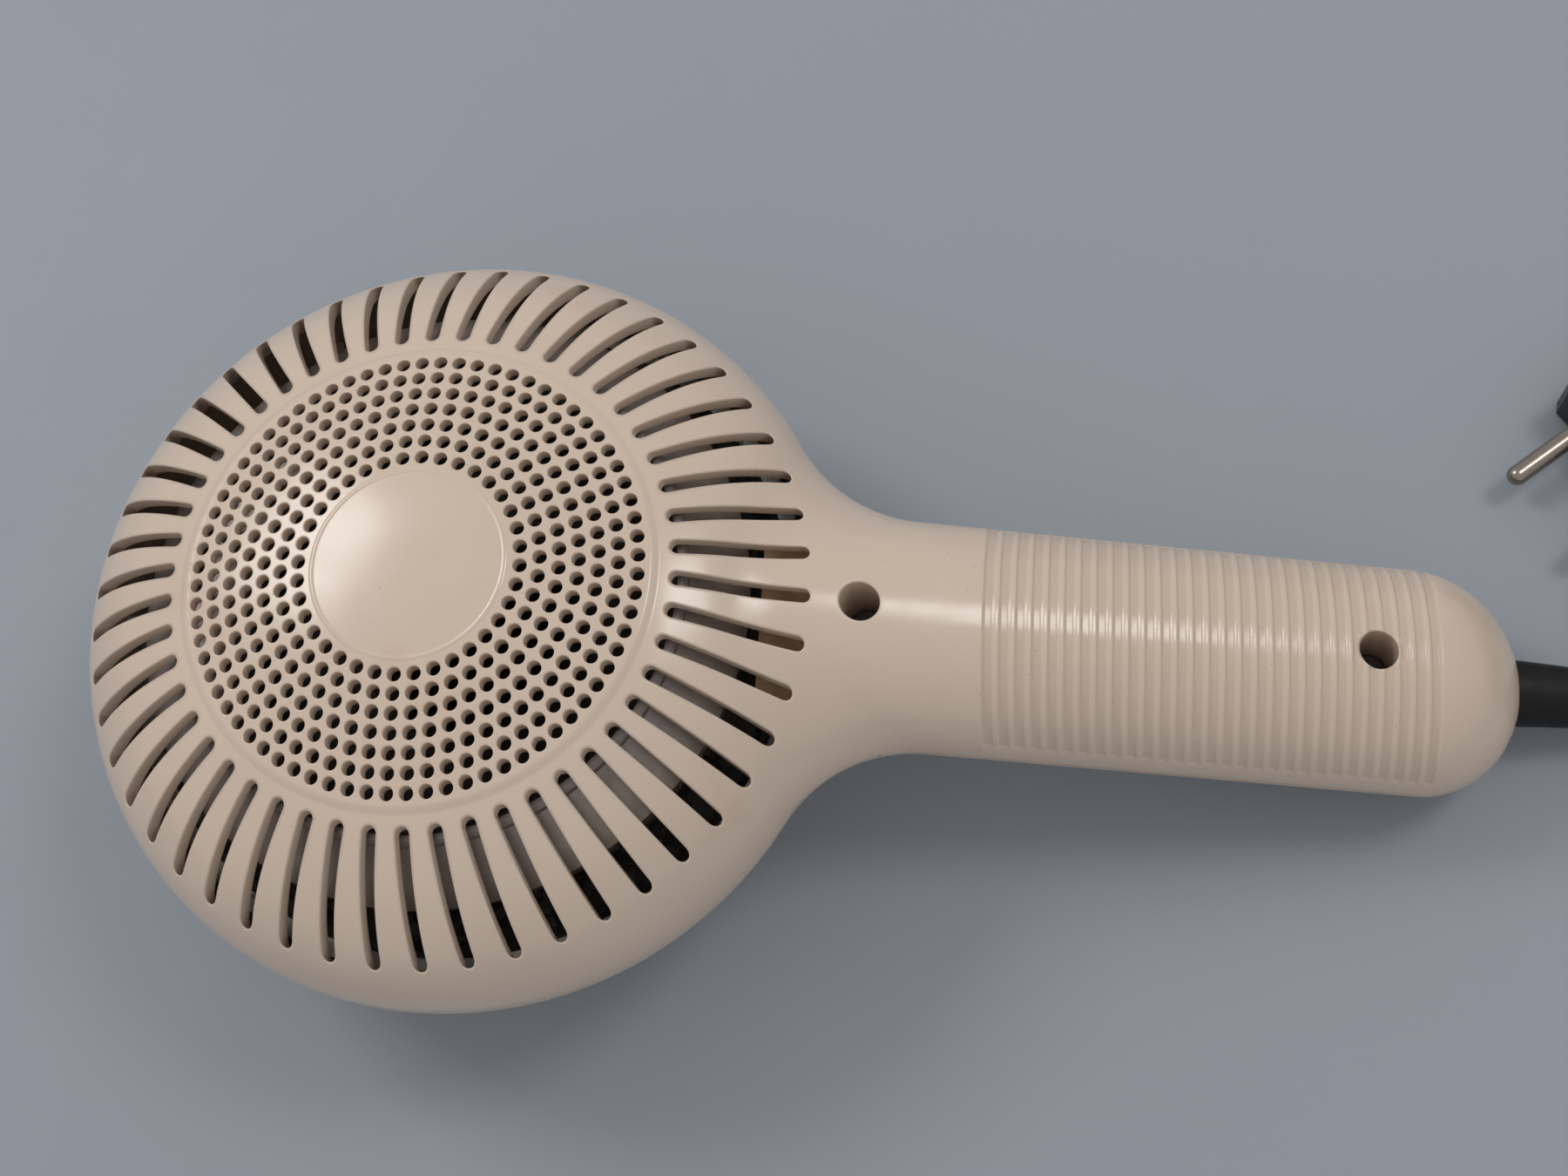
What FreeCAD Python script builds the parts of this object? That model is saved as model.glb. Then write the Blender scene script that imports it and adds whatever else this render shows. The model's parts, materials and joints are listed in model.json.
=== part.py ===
"""Mains hair dryer: domed rear intake, fan and heater in a round head, ribbed handle, two-core lead.

Frame: the dryer stands on its outlet collar, z = 0 on the table, +Z up through the intake dome,
+X along the handle, origin at the bottom centre of the box round the dryer without its lead.
"""
import FreeCAD, Part
import Sketcher
import math
import os
import re

from FreeCAD import Matrix, Placement, Rotation, Vector

doc = FreeCAD.newDocument("HairDryer")

# ---------------------------------------------------------------- driving dimensions (millimetres)

DIMENSIONS = [
    # whole dryer
    ("total_length", 265, "head rim to handle end"),
    ("total_height", 79, "table to the top of the dome"),
    ("head_radius", 71, "rim of the head"),
    ("seam_height", 42, "plane where the shells meet round the head"),
    ("wall", 2.5, "thickness of both shells"),
    ("crown_radius", 165, "middle of the dome"),
    ("step_radius", 41.8, "fine raised circle on the dome"),
    ("shoulder_turn", 50, "slope in degrees where the shoulder meets the rim curve"),
    ("bowl_radius", 20, "curve below the rim on the front shell"),
    ("bowl_turn", 60, "turn in degrees of that curve"),
    ("collar_radius", 44, "outlet collar"),
    # intake
    ("hole_pitch", 3.25, "between rings of holes"),
    ("hole_radius", 1.25, "intake holes"),
    ("slot_inner", 44.2, "inner end of the slots"),
    ("slot_outer", 65.9, "outer end of the slots"),
    ("slot_width", 2.5, "intake slots"),
    ("slot_count", 50, "intake slots"),
    ("badge_radius", 16.9, "plain disc in the middle of the dome"),
    # handle
    ("grip_half_width", 21.2, "handle section, to the side"),
    ("grip_up", 19.1, "handle section, above the seam"),
    ("grip_down", 15.4, "handle section, below the seam"),
    ("grip_tilt", 14.1, "degrees that the handle dips"),
    ("grip_bend", 78.6, "from the head axis to where the seam starts to dip"),
    ("grip_cap", 20, "length of the rounded end"),
    ("neck_fillet", 30, "between head and handle"),
    ("groove_first", 97.3, "head axis to the first groove"),
    ("groove_pitch", 2.79, "along X"),
    ("groove_count", 29, "on the back shell"),
    ("groove_width", 1.65, "along X"),
    ("groove_depth", 0.35, "below the surface"),
    # screw wells
    ("well_near", 75.4, "head axis to the first well"),
    ("well_far", 165.2, "head axis to the second well"),
    ("well_radius", 3.5, "bore of the well"),
    ("well_outer", 5, "outside of the well"),
    ("screw_hole_radius", 1.7, "clearance hole under the screw head"),
    ("pilot_radius", 1.45, "thread hole in the front shell"),
    # duct and heater
    ("duct_radius", 40, "inside the duct liner at the outlet"),
    ("duct_mouth", 61.5, "inside the duct liner at the fan"),
    ("duct_flange", 64.5, "outside the liner's flange"),
    ("sheet", 0.6, "galvanised sheet"),
    ("ledge_height", 24, "top of the liner's ledge"),
    ("ledge_radius", 48, "outer wall of the ledge"),
    ("mica", 0.8, "thickness of the heater plates"),
    ("coil_height", 15, "middle of the heating coils"),
    ("coil_radius", 1.8, "outside of the heating spiral"),
    # motor
    ("bracket_height", 25.6, "underside of the motor bracket"),
    ("bracket_sheet", 1.2, "steel of the bracket"),
    ("mount_circle", 43.9, "rubber mounts, from the axis"),
    ("can_radius", 17, "motor"),
    ("can_top", 56.8, "motor"),
    ("shaft_radius", 1.5, "motor shaft"),
    ("running_gap", 0.03, "shaft to bearing"),
    ("core_radius", 12.7, "armature"),
    ("commutator_radius", 4.2, "commutator"),
    # fan
    ("fan_radius", 55.6, "outer edge of the fan ring"),
    ("fan_eye", 46, "inner edge of the fan ring"),
    ("fan_plate_radius", 52.6, "back plate of the fan"),
    ("fan_plate_height", 44, "underside of the back plate"),
    ("fan_edge_height", 56.7, "outer edge of the fan ring"),
    ("fan_eye_height", 66, "inner edge of the fan ring"),
    ("blade_count", 24, "fan blades"),
    # switch
    ("switch_place", 29, "middle of the knob when off, along the handle from grip_bend"),
    ("switch_travel", 8, "off to full heat"),
    # lead
    ("relief_tilt", 11, "degrees that the lead dips as it leaves"),
    ("relief_length", 36, "outside the handle"),
    ("relief_radius", 6.2, "at the handle"),
    ("relief_tip", 4.4, "at the lead"),
    ("lead_radius", 3.5, "mains lead"),
    ("lead_coil_mid", 36.5, "middle of the put-away coil's turns"),
    ("pin_radius", 2, "plug pins"),
    ("pin_length", 19, "plug pins"),
    ("pin_spacing", 19, "between the plug pins"),
]

sheet = doc.addObject("Spreadsheet::Sheet", "Dimensions")
for row, (alias, number, meaning) in enumerate(DIMENSIONS, start=1):
    sheet.set(f"A{row}", alias)
    sheet.set(f"B{row}", str(number))
    sheet.set(f"C{row}", meaning)
    sheet.setAlias(f"B{row}", alias)
doc.recompute()
size = {alias: float(sheet.get(alias)) for alias, _, _ in DIMENSIONS}

ALIAS = re.compile(r"\b(" + "|".join(alias for alias, _, _ in DIMENSIONS) + r")\b")
HEAD_X = "(head_radius - total_length / 2)"
head_x = size["head_radius"] - size["total_length"] / 2
tilt = math.radians(size["grip_tilt"])
EPS = 0.01


def bound(expression):
    """An expression over the sheet's aliases, as FreeCAD wants it."""
    return ALIAS.sub(r"Dimensions.\1", str(expression))


def bind(thing, **properties):
    """Bind properties of a document object; double underscores stand for dots."""
    for name, expression in properties.items():
        thing.setExpression(name.replace("__", "."), bound(expression))


nodes = []


def node(thing, label):
    """Name a sub-part; its label is its file name."""
    thing.Label = label
    nodes.append(thing)
    return thing


def place(thing, along=0, aside=0, up=0):
    """Put an object at a point counted from the head axis on the table."""
    bind(thing, Placement__Base__x=f"{HEAD_X} + ({along})", Placement__Base__y=aside,
         Placement__Base__z=up)
    return thing


def feature(shape, label):
    """A sub-part whose shape is worked out here."""
    thing = doc.addObject("Part::Feature", label)
    thing.Shape = shape
    thing.Placement = Placement(Vector(head_x, 0, 0), Rotation()).multiply(shape.Placement)
    return node(thing, label)


# ---------------------------------------------------------------- parametric building blocks

def cylinder(name, radius, bottom, top, along=0, aside=0):
    """An upright cylinder between two heights."""
    thing = doc.addObject("Part::Cylinder", name)
    bind(thing, Radius=radius, Height=f"({top}) - ({bottom})")
    return place(thing, along, aside, bottom)


def combined(kind, name, base, tool):
    """A two-piece boolean."""
    thing = doc.addObject(f"Part::{kind}", name)
    thing.Base = base
    thing.Tool = tool
    return thing


def tube(label, outer, inner, bottom, top, along=0, aside=0):
    """An upright tube as a sub-part."""
    solid = cylinder(f"{label}_outside", outer, bottom, top, along, aside)
    bore = cylinder(f"{label}_bore", inner, f"({bottom}) - 1", f"({top}) + 1", along, aside)
    return node(combined("Cut", label, solid, bore), label)


def block(label, length, width, height, along, aside, bottom):
    """An upright box centred on a point."""
    thing = doc.addObject("Part::Box", label)
    bind(thing, Length=length, Width=width, Height=height)
    place(thing, f"({along}) - ({length}) / 2", f"({aside}) - ({width}) / 2", bottom)
    return thing


def sketch_polygon(body, name, plane, points):
    """A closed outline whose corners are bound to the sheet, on one of the body's origin planes."""
    sketch = body.newObject("Sketcher::SketchObject", name)
    support = next(item for item in body.Origin.OriginFeatures if item.Role == plane)
    sketch.AttachmentSupport = [(support, "")]
    sketch.MapMode = "FlatFace"
    values = [tuple(worked_out(coordinate) for coordinate in point) for point in points]
    count = len(values)
    for index, start in enumerate(values):
        end = values[(index + 1) % count]
        sketch.addGeometry(Part.LineSegment(Vector(*start, 0), Vector(*end, 0)), False)
    for index in range(count):
        sketch.addConstraint(Sketcher.Constraint("Coincident", index, 2, (index + 1) % count, 1))
    for index, (point, value) in enumerate(zip(points, values)):
        for kind, coordinate, number in zip(("DistanceX", "DistanceY"), point, value):
            made = sketch.addConstraint(Sketcher.Constraint(kind, -1, 1, index, 1, number))
            sketch.setExpression(f"Constraints[{made}]", bound(coordinate))
    return sketch


def worked_out(expression):
    """The number that an expression over the sheet gives, worked out by the sheet itself."""
    if isinstance(expression, (int, float)):
        return float(expression)
    cell = f"B{len(DIMENSIONS) + 3}"
    sheet.set(cell, "=" + expression)
    sheet.recompute()
    value = sheet.get(cell)
    sheet.set(cell, "")
    return float(getattr(value, "Value", value))


def turned(label, points):
    """A body of revolution about the head axis, from an outline of (radius, height) corners."""
    body = doc.addObject("PartDesign::Body", label)
    outline = sketch_polygon(body, f"{label}_outline", "XZ_Plane", points)
    turn = body.newObject("PartDesign::Revolution", f"{label}_turn")
    turn.Profile = outline
    turn.ReferenceAxis = (outline, ["V_Axis"])
    turn.Angle = 360
    place(body)
    return node(body, label)


def plate(label, points, thickness, bottom, along=0, aside=0):
    """A flat plate: an outline of (x, y) corners padded upwards."""
    body = doc.addObject("PartDesign::Body", label)
    outline = sketch_polygon(body, f"{label}_outline", "XY_Plane", points)
    pad = body.newObject("PartDesign::Pad", f"{label}_pad")
    pad.Profile = outline
    bind(pad, Length=thickness)
    place(body, along, aside, bottom)
    return node(body, label)


# ---------------------------------------------------------------- shapes worked out in code
# In these functions x counts from the head axis and the sub-part's placement adds the rest.

def upright(radius, bottom, top, x=0, y=0):
    return Part.makeCylinder(radius, top - bottom, Vector(x, y, bottom))


def brick(x_low, x_high, y_low, y_high, z_low, z_high):
    return Part.makeBox(x_high - x_low, y_high - y_low, z_high - z_low, Vector(x_low, y_low, z_low))


def joined(shapes):
    """Fuse a list of shapes into one."""
    return shapes[0].fuse(shapes[1:]).removeSplitter() if len(shapes) > 1 else shapes[0]


def turned_about_axis(shape, degrees):
    copy = shape.copy()
    copy.rotate(Vector(), Vector(0, 0, 1), degrees)
    return copy


def seam_at(x):
    """Height of the seam between the shells: level round the head, then dipping with the handle."""
    return size["seam_height"] - math.tan(tilt) * max(0, x - size["grip_bend"])


def along_handle(distance, above=0, aside=0):
    """A point in the handle's own directions, from where its seam starts to dip."""
    return Vector(size["grip_bend"] + distance * math.cos(tilt) + above * math.sin(tilt), aside,
                  size["seam_height"] - distance * math.sin(tilt) + above * math.cos(tilt))


def tilted(shape):
    """Turn a shape made on the handle's axis so that it dips with the handle."""
    copy = shape.copy()
    copy.Placement = Placement(along_handle(0), Rotation(Vector(0, 1, 0), size["grip_tilt"]))
    return copy


def arc(centre, radius, start, end):
    """An arc in the XZ plane, with angles counted from +Z towards +X."""
    def at(angle):
        return Vector(centre[0] + radius * math.sin(angle), 0, centre[1] + radius * math.cos(angle))
    return Part.Arc(at(start), at((start + end) / 2), at(end)).toShape()


def head_solid(inset):
    """The head as a turned solid, its dome and bowl inset by a distance."""
    crown = size["crown_radius"]
    first = math.asin(size["step_radius"] / crown)
    second = math.radians(size["shoulder_turn"])
    out = size["head_radius"] - size["step_radius"]
    down = size["total_height"] - size["seam_height"] - crown * (1 - math.cos(first))
    # the shoulder and rim arcs reach out and down by those amounts and stay tangent
    a, b = math.sin(second) - math.sin(first), 1 - math.sin(second)
    c, d = math.cos(first) - math.cos(second), math.cos(second)
    shoulder = (out * d - b * down) / (a * d - b * c)
    rim = (a * down - c * out) / (a * d - b * c)
    crown_centre = (0, size["total_height"] - crown)
    shoulder_centre = ((crown - shoulder) * math.sin(first),
                       crown_centre[1] + (crown - shoulder) * math.cos(first))
    rim_centre = (shoulder_centre[0] + (shoulder - rim) * math.sin(second),
                  shoulder_centre[1] + (shoulder - rim) * math.cos(second))
    bowl = size["bowl_radius"]
    bowl_centre = (size["head_radius"] - bowl, size["seam_height"])
    quarter = math.pi / 2
    turn = math.radians(size["bowl_turn"])
    edges = [arc(crown_centre, crown - inset, 0, first),
             arc(shoulder_centre, shoulder - inset, first, second),
             arc(rim_centre, rim - inset, second, quarter),
             arc(bowl_centre, bowl - inset, quarter, quarter + turn)]
    bowl_end = Vector(bowl_centre[0] + (bowl - inset) * math.cos(turn), 0,
                      bowl_centre[1] - (bowl - inset) * math.sin(turn))
    collar = size["collar_radius"] - inset
    collar_top = Vector(collar, 0, bowl_end.z - (bowl_end.x - collar) / math.tan(turn))
    corners = [bowl_end, collar_top, Vector(collar, 0, 0), Vector(),
               Vector(0, 0, size["total_height"] - inset)]
    edges += [Part.LineSegment(one, two).toShape() for one, two in zip(corners, corners[1:])]
    outline = Part.Face(Part.Wire(Part.sortEdges(edges)[0]))
    return outline.revolve(Vector(), Vector(0, 0, 1), 360)


def grip_section(x, scale, inset):
    """The handle's upright section: an upper and a lower half ellipse that meet at the seam."""
    axis_height = size["seam_height"] - math.tan(tilt) * (x - size["grip_bend"])
    halves = []
    for side, depth in ((1, size["grip_up"]), (-1, size["grip_down"])):
        semicircle = Part.Arc(Vector(0, side, 0), Vector(0, 0, side), Vector(0, -side, 0)).toShape()
        stretch = Matrix()
        stretch.A22 = (size["grip_half_width"] - inset) * scale
        stretch.A33 = (depth - inset) * scale
        stretch.A14 = x
        stretch.A34 = axis_height
        halves.append(semicircle.transformGeometry(stretch))
    return Part.Wire(halves)


def grip_solid(inset):
    """The handle: one section along its axis, closed by a rounded end."""
    handle_end = size["total_length"] - size["head_radius"]
    cap_start = handle_end - size["grip_cap"]
    cap = size["grip_cap"] - inset
    bar = Part.makeLoft([grip_section(30, 1, inset), grip_section(cap_start, 1, inset)], True, True)
    fractions = (0, 0.25, 0.475, 0.675, 0.825, 0.93, 0.985)
    cap_sections = [grip_section(cap_start + cap * part, math.sqrt(1 - part ** 2), inset)
                    for part in fractions]
    return bar, Part.makeLoft(cap_sections, True, False)


def casing_solid(inset):
    """Head and handle in one, with the neck filleted."""
    head = head_solid(inset)
    bar, cap = grip_solid(inset)
    body = head.fuse(bar)
    corner = []
    for edge in body.Edges:
        middle = Part.Vertex(edge.valueAt((edge.FirstParameter + edge.LastParameter) / 2))
        on_head = min(face.distToShape(middle)[0] for face in head.Faces) < EPS
        on_bar = min(face.distToShape(middle)[0] for face in bar.Faces) < EPS
        if on_head and on_bar:
            corner.append(edge)
    body = body.makeFillet(size["neck_fillet"] + inset, corner)
    return body.fuse(cap).removeSplitter()


def above_seam(gap=0):
    """Everything above the seam."""
    far, top = 250, 120
    corners = [Vector(-far, 0, size["seam_height"] + gap), Vector(-far, 0, top), Vector(far, 0, top),
               Vector(far, 0, seam_at(far) + gap),
               Vector(size["grip_bend"], 0, size["seam_height"] + gap)]
    outline = Part.Face(Part.makePolygon(corners + corners[:1]))
    outline.translate(Vector(0, -far, 0))
    return outline.extrude(Vector(0, 2 * far, 0))


def intake_cutters():
    """The round holes in their rings, and the radial slots."""
    low, high = size["seam_height"], size["total_height"] + 5
    cutters = []
    for ring in range(6, 13):
        count = 6 * ring
        for index in range(count):
            angle = math.radians(30) + 2 * math.pi * index / count
            reach = size["hole_pitch"] * ring
            cutters.append(upright(size["hole_radius"], low, high,
                                   reach * math.cos(angle), reach * math.sin(angle)))
    half = size["slot_width"] / 2
    inner, outer = size["slot_inner"] + half, size["slot_outer"] - half
    slot = joined([brick(inner, outer, -half, half, low, high), upright(half, low, high, inner),
                   upright(half, low, high, outer)])
    count = int(size["slot_count"])
    cutters += [turned_about_axis(slot, 360 * index / count) for index in range(count)]
    return Part.makeCompound(cutters)


def groove_cutter(first, count, upper):
    """Shallow grip grooves across one side of the handle, stopping short of the seam."""
    deep_bar = grip_solid(size["groove_depth"])
    thin = joined(list(grip_solid(-1))).cut(joined(list(deep_bar)))
    slabs = []
    for index in range(first, first + count):
        x = size["groove_first"] + index * size["groove_pitch"]
        low, high = (seam_at(x) + 4.9, 90) if upper else (-20, seam_at(x) - 4.9)
        slabs.append(brick(x - size["groove_width"] / 2, x + size["groove_width"] / 2, -40, 40, low, high))
    return thin.common(Part.makeCompound(slabs))


def relief_axis(distance):
    """A point on the strain relief's axis, from the handle's end; it dips towards the table."""
    dip = math.radians(size["relief_tilt"])
    return Vector(size["total_length"] - size["head_radius"] + distance * math.cos(dip), 0,
                  12.6 - distance * math.sin(dip))


def relief_rod(radius, start, end, radius_end=None):
    """A rod or cone on the strain relief's axis."""
    direction = relief_axis(1) - relief_axis(0)
    if radius_end is None:
        return Part.makeCylinder(radius, end - start, relief_axis(start), direction)
    return Part.makeCone(radius, radius_end, end - start, relief_axis(start), direction)


WELL_FLOOR = 2


def well_bottom(x):
    """Both wells end on a level face at the seam."""
    return seam_at(x) + 0.5 * (x > size["grip_bend"])


def shells():
    """The back and front shells."""
    outside = casing_solid(0)
    inside = casing_solid(size["wall"])
    skin = outside.cut(inside)
    upper = above_seam()
    relief_hole = relief_rod(size["relief_radius"] + 0.1, -12, 6)
    back = skin.common(upper)
    front = skin.cut(upper)

    wells, bosses, well_bores = [], [], []
    for x in (size["well_near"], size["well_far"]):
        floor = well_bottom(x)
        wells.append(upright(size["well_outer"], floor, 90, x).common(outside))
        well_bores.append(upright(size["well_radius"], floor + WELL_FLOOR, 90, x))
        well_bores.append(upright(size["screw_hole_radius"], floor - 1, floor + WELL_FLOOR + 1, x))
        boss = upright(4.5, 0, floor, x).common(outside)
        bosses.append(boss.cut(upright(size["pilot_radius"], floor - 12, floor + 1, x)))
    back = joined([back] + wells).cut(Part.makeCompound(well_bores))
    back = back.cut(intake_cutters())
    back = back.cut(groove_cutter(0, int(size["groove_count"]), True))
    back = back.cut(relief_hole)

    # ribs that carry the duct liner's flange, and the grille's seat at the outlet
    flange_under = size["seam_height"] - 1
    rib = brick(size["duct_mouth"] + 0.8, size["head_radius"] - 3, -1, 1, flange_under - 8,
                flange_under).common(outside)
    ribs = [turned_about_axis(rib, degrees) for degrees in (60, 120, 180, 240, 300)]
    front = joined([front] + bosses + ribs)
    front = front.cut(upright(size["collar_radius"] - size["wall"], -1, 8))
    for x in (size["well_near"], size["well_far"]):
        front = front.cut(upright(size["pilot_radius"], well_bottom(x) - 12, well_bottom(x) + 1, x))
    knob, travel = size["switch_place"], size["switch_travel"]
    front = front.cut(tilted(brick(knob - 4, knob + travel + 4, -3.4, 3.4, -20, -10)))
    front = front.cut(groove_cutter(12, int(size["groove_count"]) - 12, False))
    front = front.cut(relief_hole)
    return back, front


back_shape, front_shape = shells()
feature(back_shape, "back_shell")
feature(front_shape, "front_shell")


# ---------------------------------------------------------------- outlet grille

def grille():
    """Concentric rings on eight spokes, pressed into the outlet collar."""
    low, high = 1.5, 4.5
    rim = size["collar_radius"] - size["wall"] - 0.1
    pieces = [upright(rim, 1, 5).cut(upright(rim - 2.6, 0, 6)), upright(5, low, high)]
    for radius in (11.5, 18, 24.5, 31):
        pieces.append(upright(radius + 0.7, low, high).cut(upright(radius - 0.7, 0, 6)))
    for index in range(8):
        spoke = brick(4, rim - 2, -0.8, 0.8, low, high)
        pieces.append(turned_about_axis(spoke, 45 * index))
    return joined(pieces)


feature(grille(), "outlet_grille")

# ---------------------------------------------------------------- duct liner and heater

liner = turned("duct_liner", [
    ("duct_radius", 5.2), ("duct_radius", "ledge_height"), ("ledge_radius", "ledge_height"),
    ("ledge_radius", "ledge_height + 3"), ("duct_mouth - 4.6", "seam_height - 9"),
    ("duct_mouth", "seam_height - 1"), ("duct_mouth", "seam_height - 1 + sheet"),
    ("duct_flange", "seam_height - 1 + sheet"), ("duct_flange", "seam_height - 1"),
    ("duct_mouth + sheet", "seam_height - 1"), ("duct_mouth - 4.6 + sheet", "seam_height - 9.4"),
    ("ledge_radius + sheet", "ledge_height + 2.6"), ("ledge_radius + sheet", "ledge_height - sheet"),
    ("duct_radius + sheet", "ledge_height - sheet"), ("duct_radius + sheet", 5.2)])
nodes.remove(liner)
MOUNT_ANGLES = (60, 180, 300)


def round_about(make, angles=MOUNT_ANGLES):
    """One parametric object at each angle on the mount circle."""
    made = []
    for angle in angles:
        spoke = math.radians(angle)
        made.append(make(f"mount_circle * {math.cos(spoke):.6f}",
                         f"mount_circle * {math.sin(spoke):.6f}", angle))
    return made


def fused(label, parts):
    """Several objects in one solid."""
    thing = doc.addObject("Part::MultiFuse", label)
    thing.Shapes = parts
    return thing


def grouped(label, parts):
    """Several separate solids in one sub-part."""
    thing = doc.addObject("Part::Compound", label)
    thing.Links = parts
    return node(thing, label)


ledge_holes = fused("ledge_holes", round_about(
    lambda x, y, a: cylinder(f"ledge_hole_{a}", 1.6, 20, 26, x, y)))
liner.Label = "duct_liner_blank"
node(combined("Cut", "duct_liner_cut", liner, ledge_holes), "duct_liner")
tube("heater_sleeve", "duct_radius - 0.1", "duct_radius - mica", 6, "ledge_height - 0.4")

COIL_RINGS = {"heater_coil_main": (12, 19), "heater_coil_boost": (26, 33)}
coil_channels = []
for coil_label, radii in COIL_RINGS.items():
    rings = []
    for radius in radii:
        ring = doc.addObject("Part::Torus", f"{coil_label}_{radius}")
        bind(ring, Radius1=radius, Radius2="coil_radius")
        rings.append(place(ring, up="coil_height"))
        channel = doc.addObject("Part::Torus", f"{coil_label}_channel_{radius}")
        bind(channel, Radius1=radius, Radius2="coil_radius + 0.1")
        coil_channels.append(place(channel, up="coil_height"))
    grouped(coil_label, rings)
channels = fused("coil_channels", coil_channels)

PLATE_TURN = 15
for plate_label, turn, low, high in (("heater_plate_lower", PLATE_TURN, 7, "coil_height"),
                                     ("heater_plate_upper", PLATE_TURN + 90, "coil_height", 22)):
    # the two plates cross in half-height slots, so each is a full cross-plate less one half slot
    blank = block(f"{plate_label}_blank", "2 * duct_radius - 4", "mica", 15, 0, 0, 7)
    slot = block(f"{plate_label}_slot", "mica + 0.1", "mica + 1", f"({high}) - ({low}) + 0.1", 0, 0,
                 f"({low}) - 0.05")
    notched = combined("Cut", f"{plate_label}_notched", blank, slot)
    turned_plate = doc.addObject("Part::Feature", f"{plate_label}_turned")
    doc.recompute()
    upright_plate = notched.Shape.copy()
    upright_plate.rotate(Vector(head_x, 0, 0), Vector(0, 0, 1), turn)
    turned_plate.Shape = upright_plate
    node(combined("Cut", f"{plate_label}_cut", turned_plate, channels), plate_label)

cutout_angle = math.radians(MOUNT_ANGLES[0])
node(cylinder("thermal_cutout_can", 5, "bracket_height - 4.5", "bracket_height",
              f"{28 * math.cos(cutout_angle):.4f}", f"{28 * math.sin(cutout_angle):.4f}"),
     "thermal_cutout")

# ---------------------------------------------------------------- motor

BRACKET_TOP = "bracket_height + bracket_sheet"


def bracket():
    """A ring with three arms that reach the duct's ledge."""
    low, high = size["bracket_height"], size["bracket_height"] + size["bracket_sheet"]
    arm = joined([brick(10, size["mount_circle"], -4, 4, low, high),
                  upright(4, low, high, size["mount_circle"])])
    shape = joined([upright(17, low, high)] + [turned_about_axis(arm, a) for a in MOUNT_ANGLES])
    holes = [upright(9.5, low - 1, high + 1)]
    for angle in MOUNT_ANGLES:
        holes.append(turned_about_axis(upright(3, low - 1, high + 1, size["mount_circle"]), angle))
    for side in (-1, 1):
        holes.append(upright(1.35, low - 1, high + 1, 0, 13 * side))
    return shape.cut(Part.makeCompound(holes))


feature(bracket(), "motor_bracket")


def grommet(x, y, angle):
    """A rubber mount that clips into the bracket's hole and stands on the ledge."""
    lower = cylinder(f"grommet_lower_{angle}", 3.9, "ledge_height", "bracket_height", x, y)
    neck = cylinder(f"grommet_neck_{angle}", 2.95, "bracket_height", BRACKET_TOP, x, y)
    upper = cylinder(f"grommet_upper_{angle}", 3.9, BRACKET_TOP, f"{BRACKET_TOP} + 1.4", x, y)
    bore = cylinder(f"grommet_bore_{angle}", 1.6, "ledge_height - 1", f"{BRACKET_TOP} + 2", x, y)
    return combined("Cut", f"grommet_{angle}", fused(f"grommet_body_{angle}", [lower, neck, upper]), bore)


def round_screw(name, shank, head, tip, seat, height, x, y):
    """A pan-head screw with its head upwards."""
    return fused(name, [cylinder(f"{name}_shank", shank, tip, seat, x, y),
                        cylinder(f"{name}_head", head, seat, f"({seat}) + ({height})", x, y)])


grouped("rubber_mounts", round_about(grommet))
grouped("bracket_screws", round_about(lambda x, y, a: round_screw(
    f"bracket_screw_{a}", 1.5, 2.8, "ledge_height - 3.5", f"{BRACKET_TOP} + 1.4", 1.8, x, y)))

END_CAP_TOP = f"{BRACKET_TOP} + 2.2"
turned("motor_can", [
    ("can_radius - 1.2", END_CAP_TOP), ("can_radius", END_CAP_TOP), ("can_radius", "can_top"),
    (4, "can_top"), (4, "can_top - 1.2"), ("can_radius - 1.2", "can_top - 1.2")])
cap_disc = fused("motor_end_cap_body", [
    cylinder("end_cap_disc", "can_radius", BRACKET_TOP, END_CAP_TOP),
    combined("Cut", "end_cap_spigot", cylinder("spigot_outside", "can_radius - 1.25", END_CAP_TOP,
                                               f"{END_CAP_TOP} + 1.8"),
             cylinder("spigot_inside", 12.5, f"{END_CAP_TOP} - 1", f"{END_CAP_TOP} + 2")),
    block("brush_post_right", 3, 4, 1.4, 0, 9.2, END_CAP_TOP),
    block("brush_post_left", 3, 4, 1.4, 0, -9.2, END_CAP_TOP)])
cap_bores = fused("motor_end_cap_bores", [
    cylinder("end_cap_bore", 3.5, 20, 40),
    cylinder("end_cap_pilot_right", 1.25, 20, END_CAP_TOP, 0, 13),
    cylinder("end_cap_pilot_left", 1.25, 20, END_CAP_TOP, 0, -13)])
node(combined("Cut", "motor_end_cap_cut", cap_disc, cap_bores), "motor_end_cap")
grouped("motor_screws", [
    fused(f"motor_screw_{side}", [
        cylinder(f"motor_screw_shank_{side}", 1.25, "bracket_height", "bracket_height + 3", 0, aside),
        cylinder(f"motor_screw_head_{side}", 2.2, "bracket_height - 1.5", "bracket_height", 0, aside)])
    for side, aside in (("right", 13), ("left", -13))])
tube("bearing_upper", 4, "shaft_radius + running_gap", "can_top - 2.2", "can_top + 1.2")
tube("bearing_lower", 3.5, "shaft_radius + running_gap", BRACKET_TOP, f"{BRACKET_TOP} + 3.2")
node(cylinder("shaft_rod", "shaft_radius", "bracket_height - 1", "fan_eye_height"), "motor_shaft")

CORE_LOW, CORE_HIGH = 38, 50


def field_magnets():
    """Two arc magnets inside the can."""
    ring = upright(15.75, CORE_LOW - 2, CORE_HIGH + 2).cut(upright(13.3, CORE_LOW - 3, CORE_HIGH + 3))
    gap = brick(-7, 7, -20, 20, CORE_LOW - 3, CORE_HIGH + 3)
    return ring.cut(gap)


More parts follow.
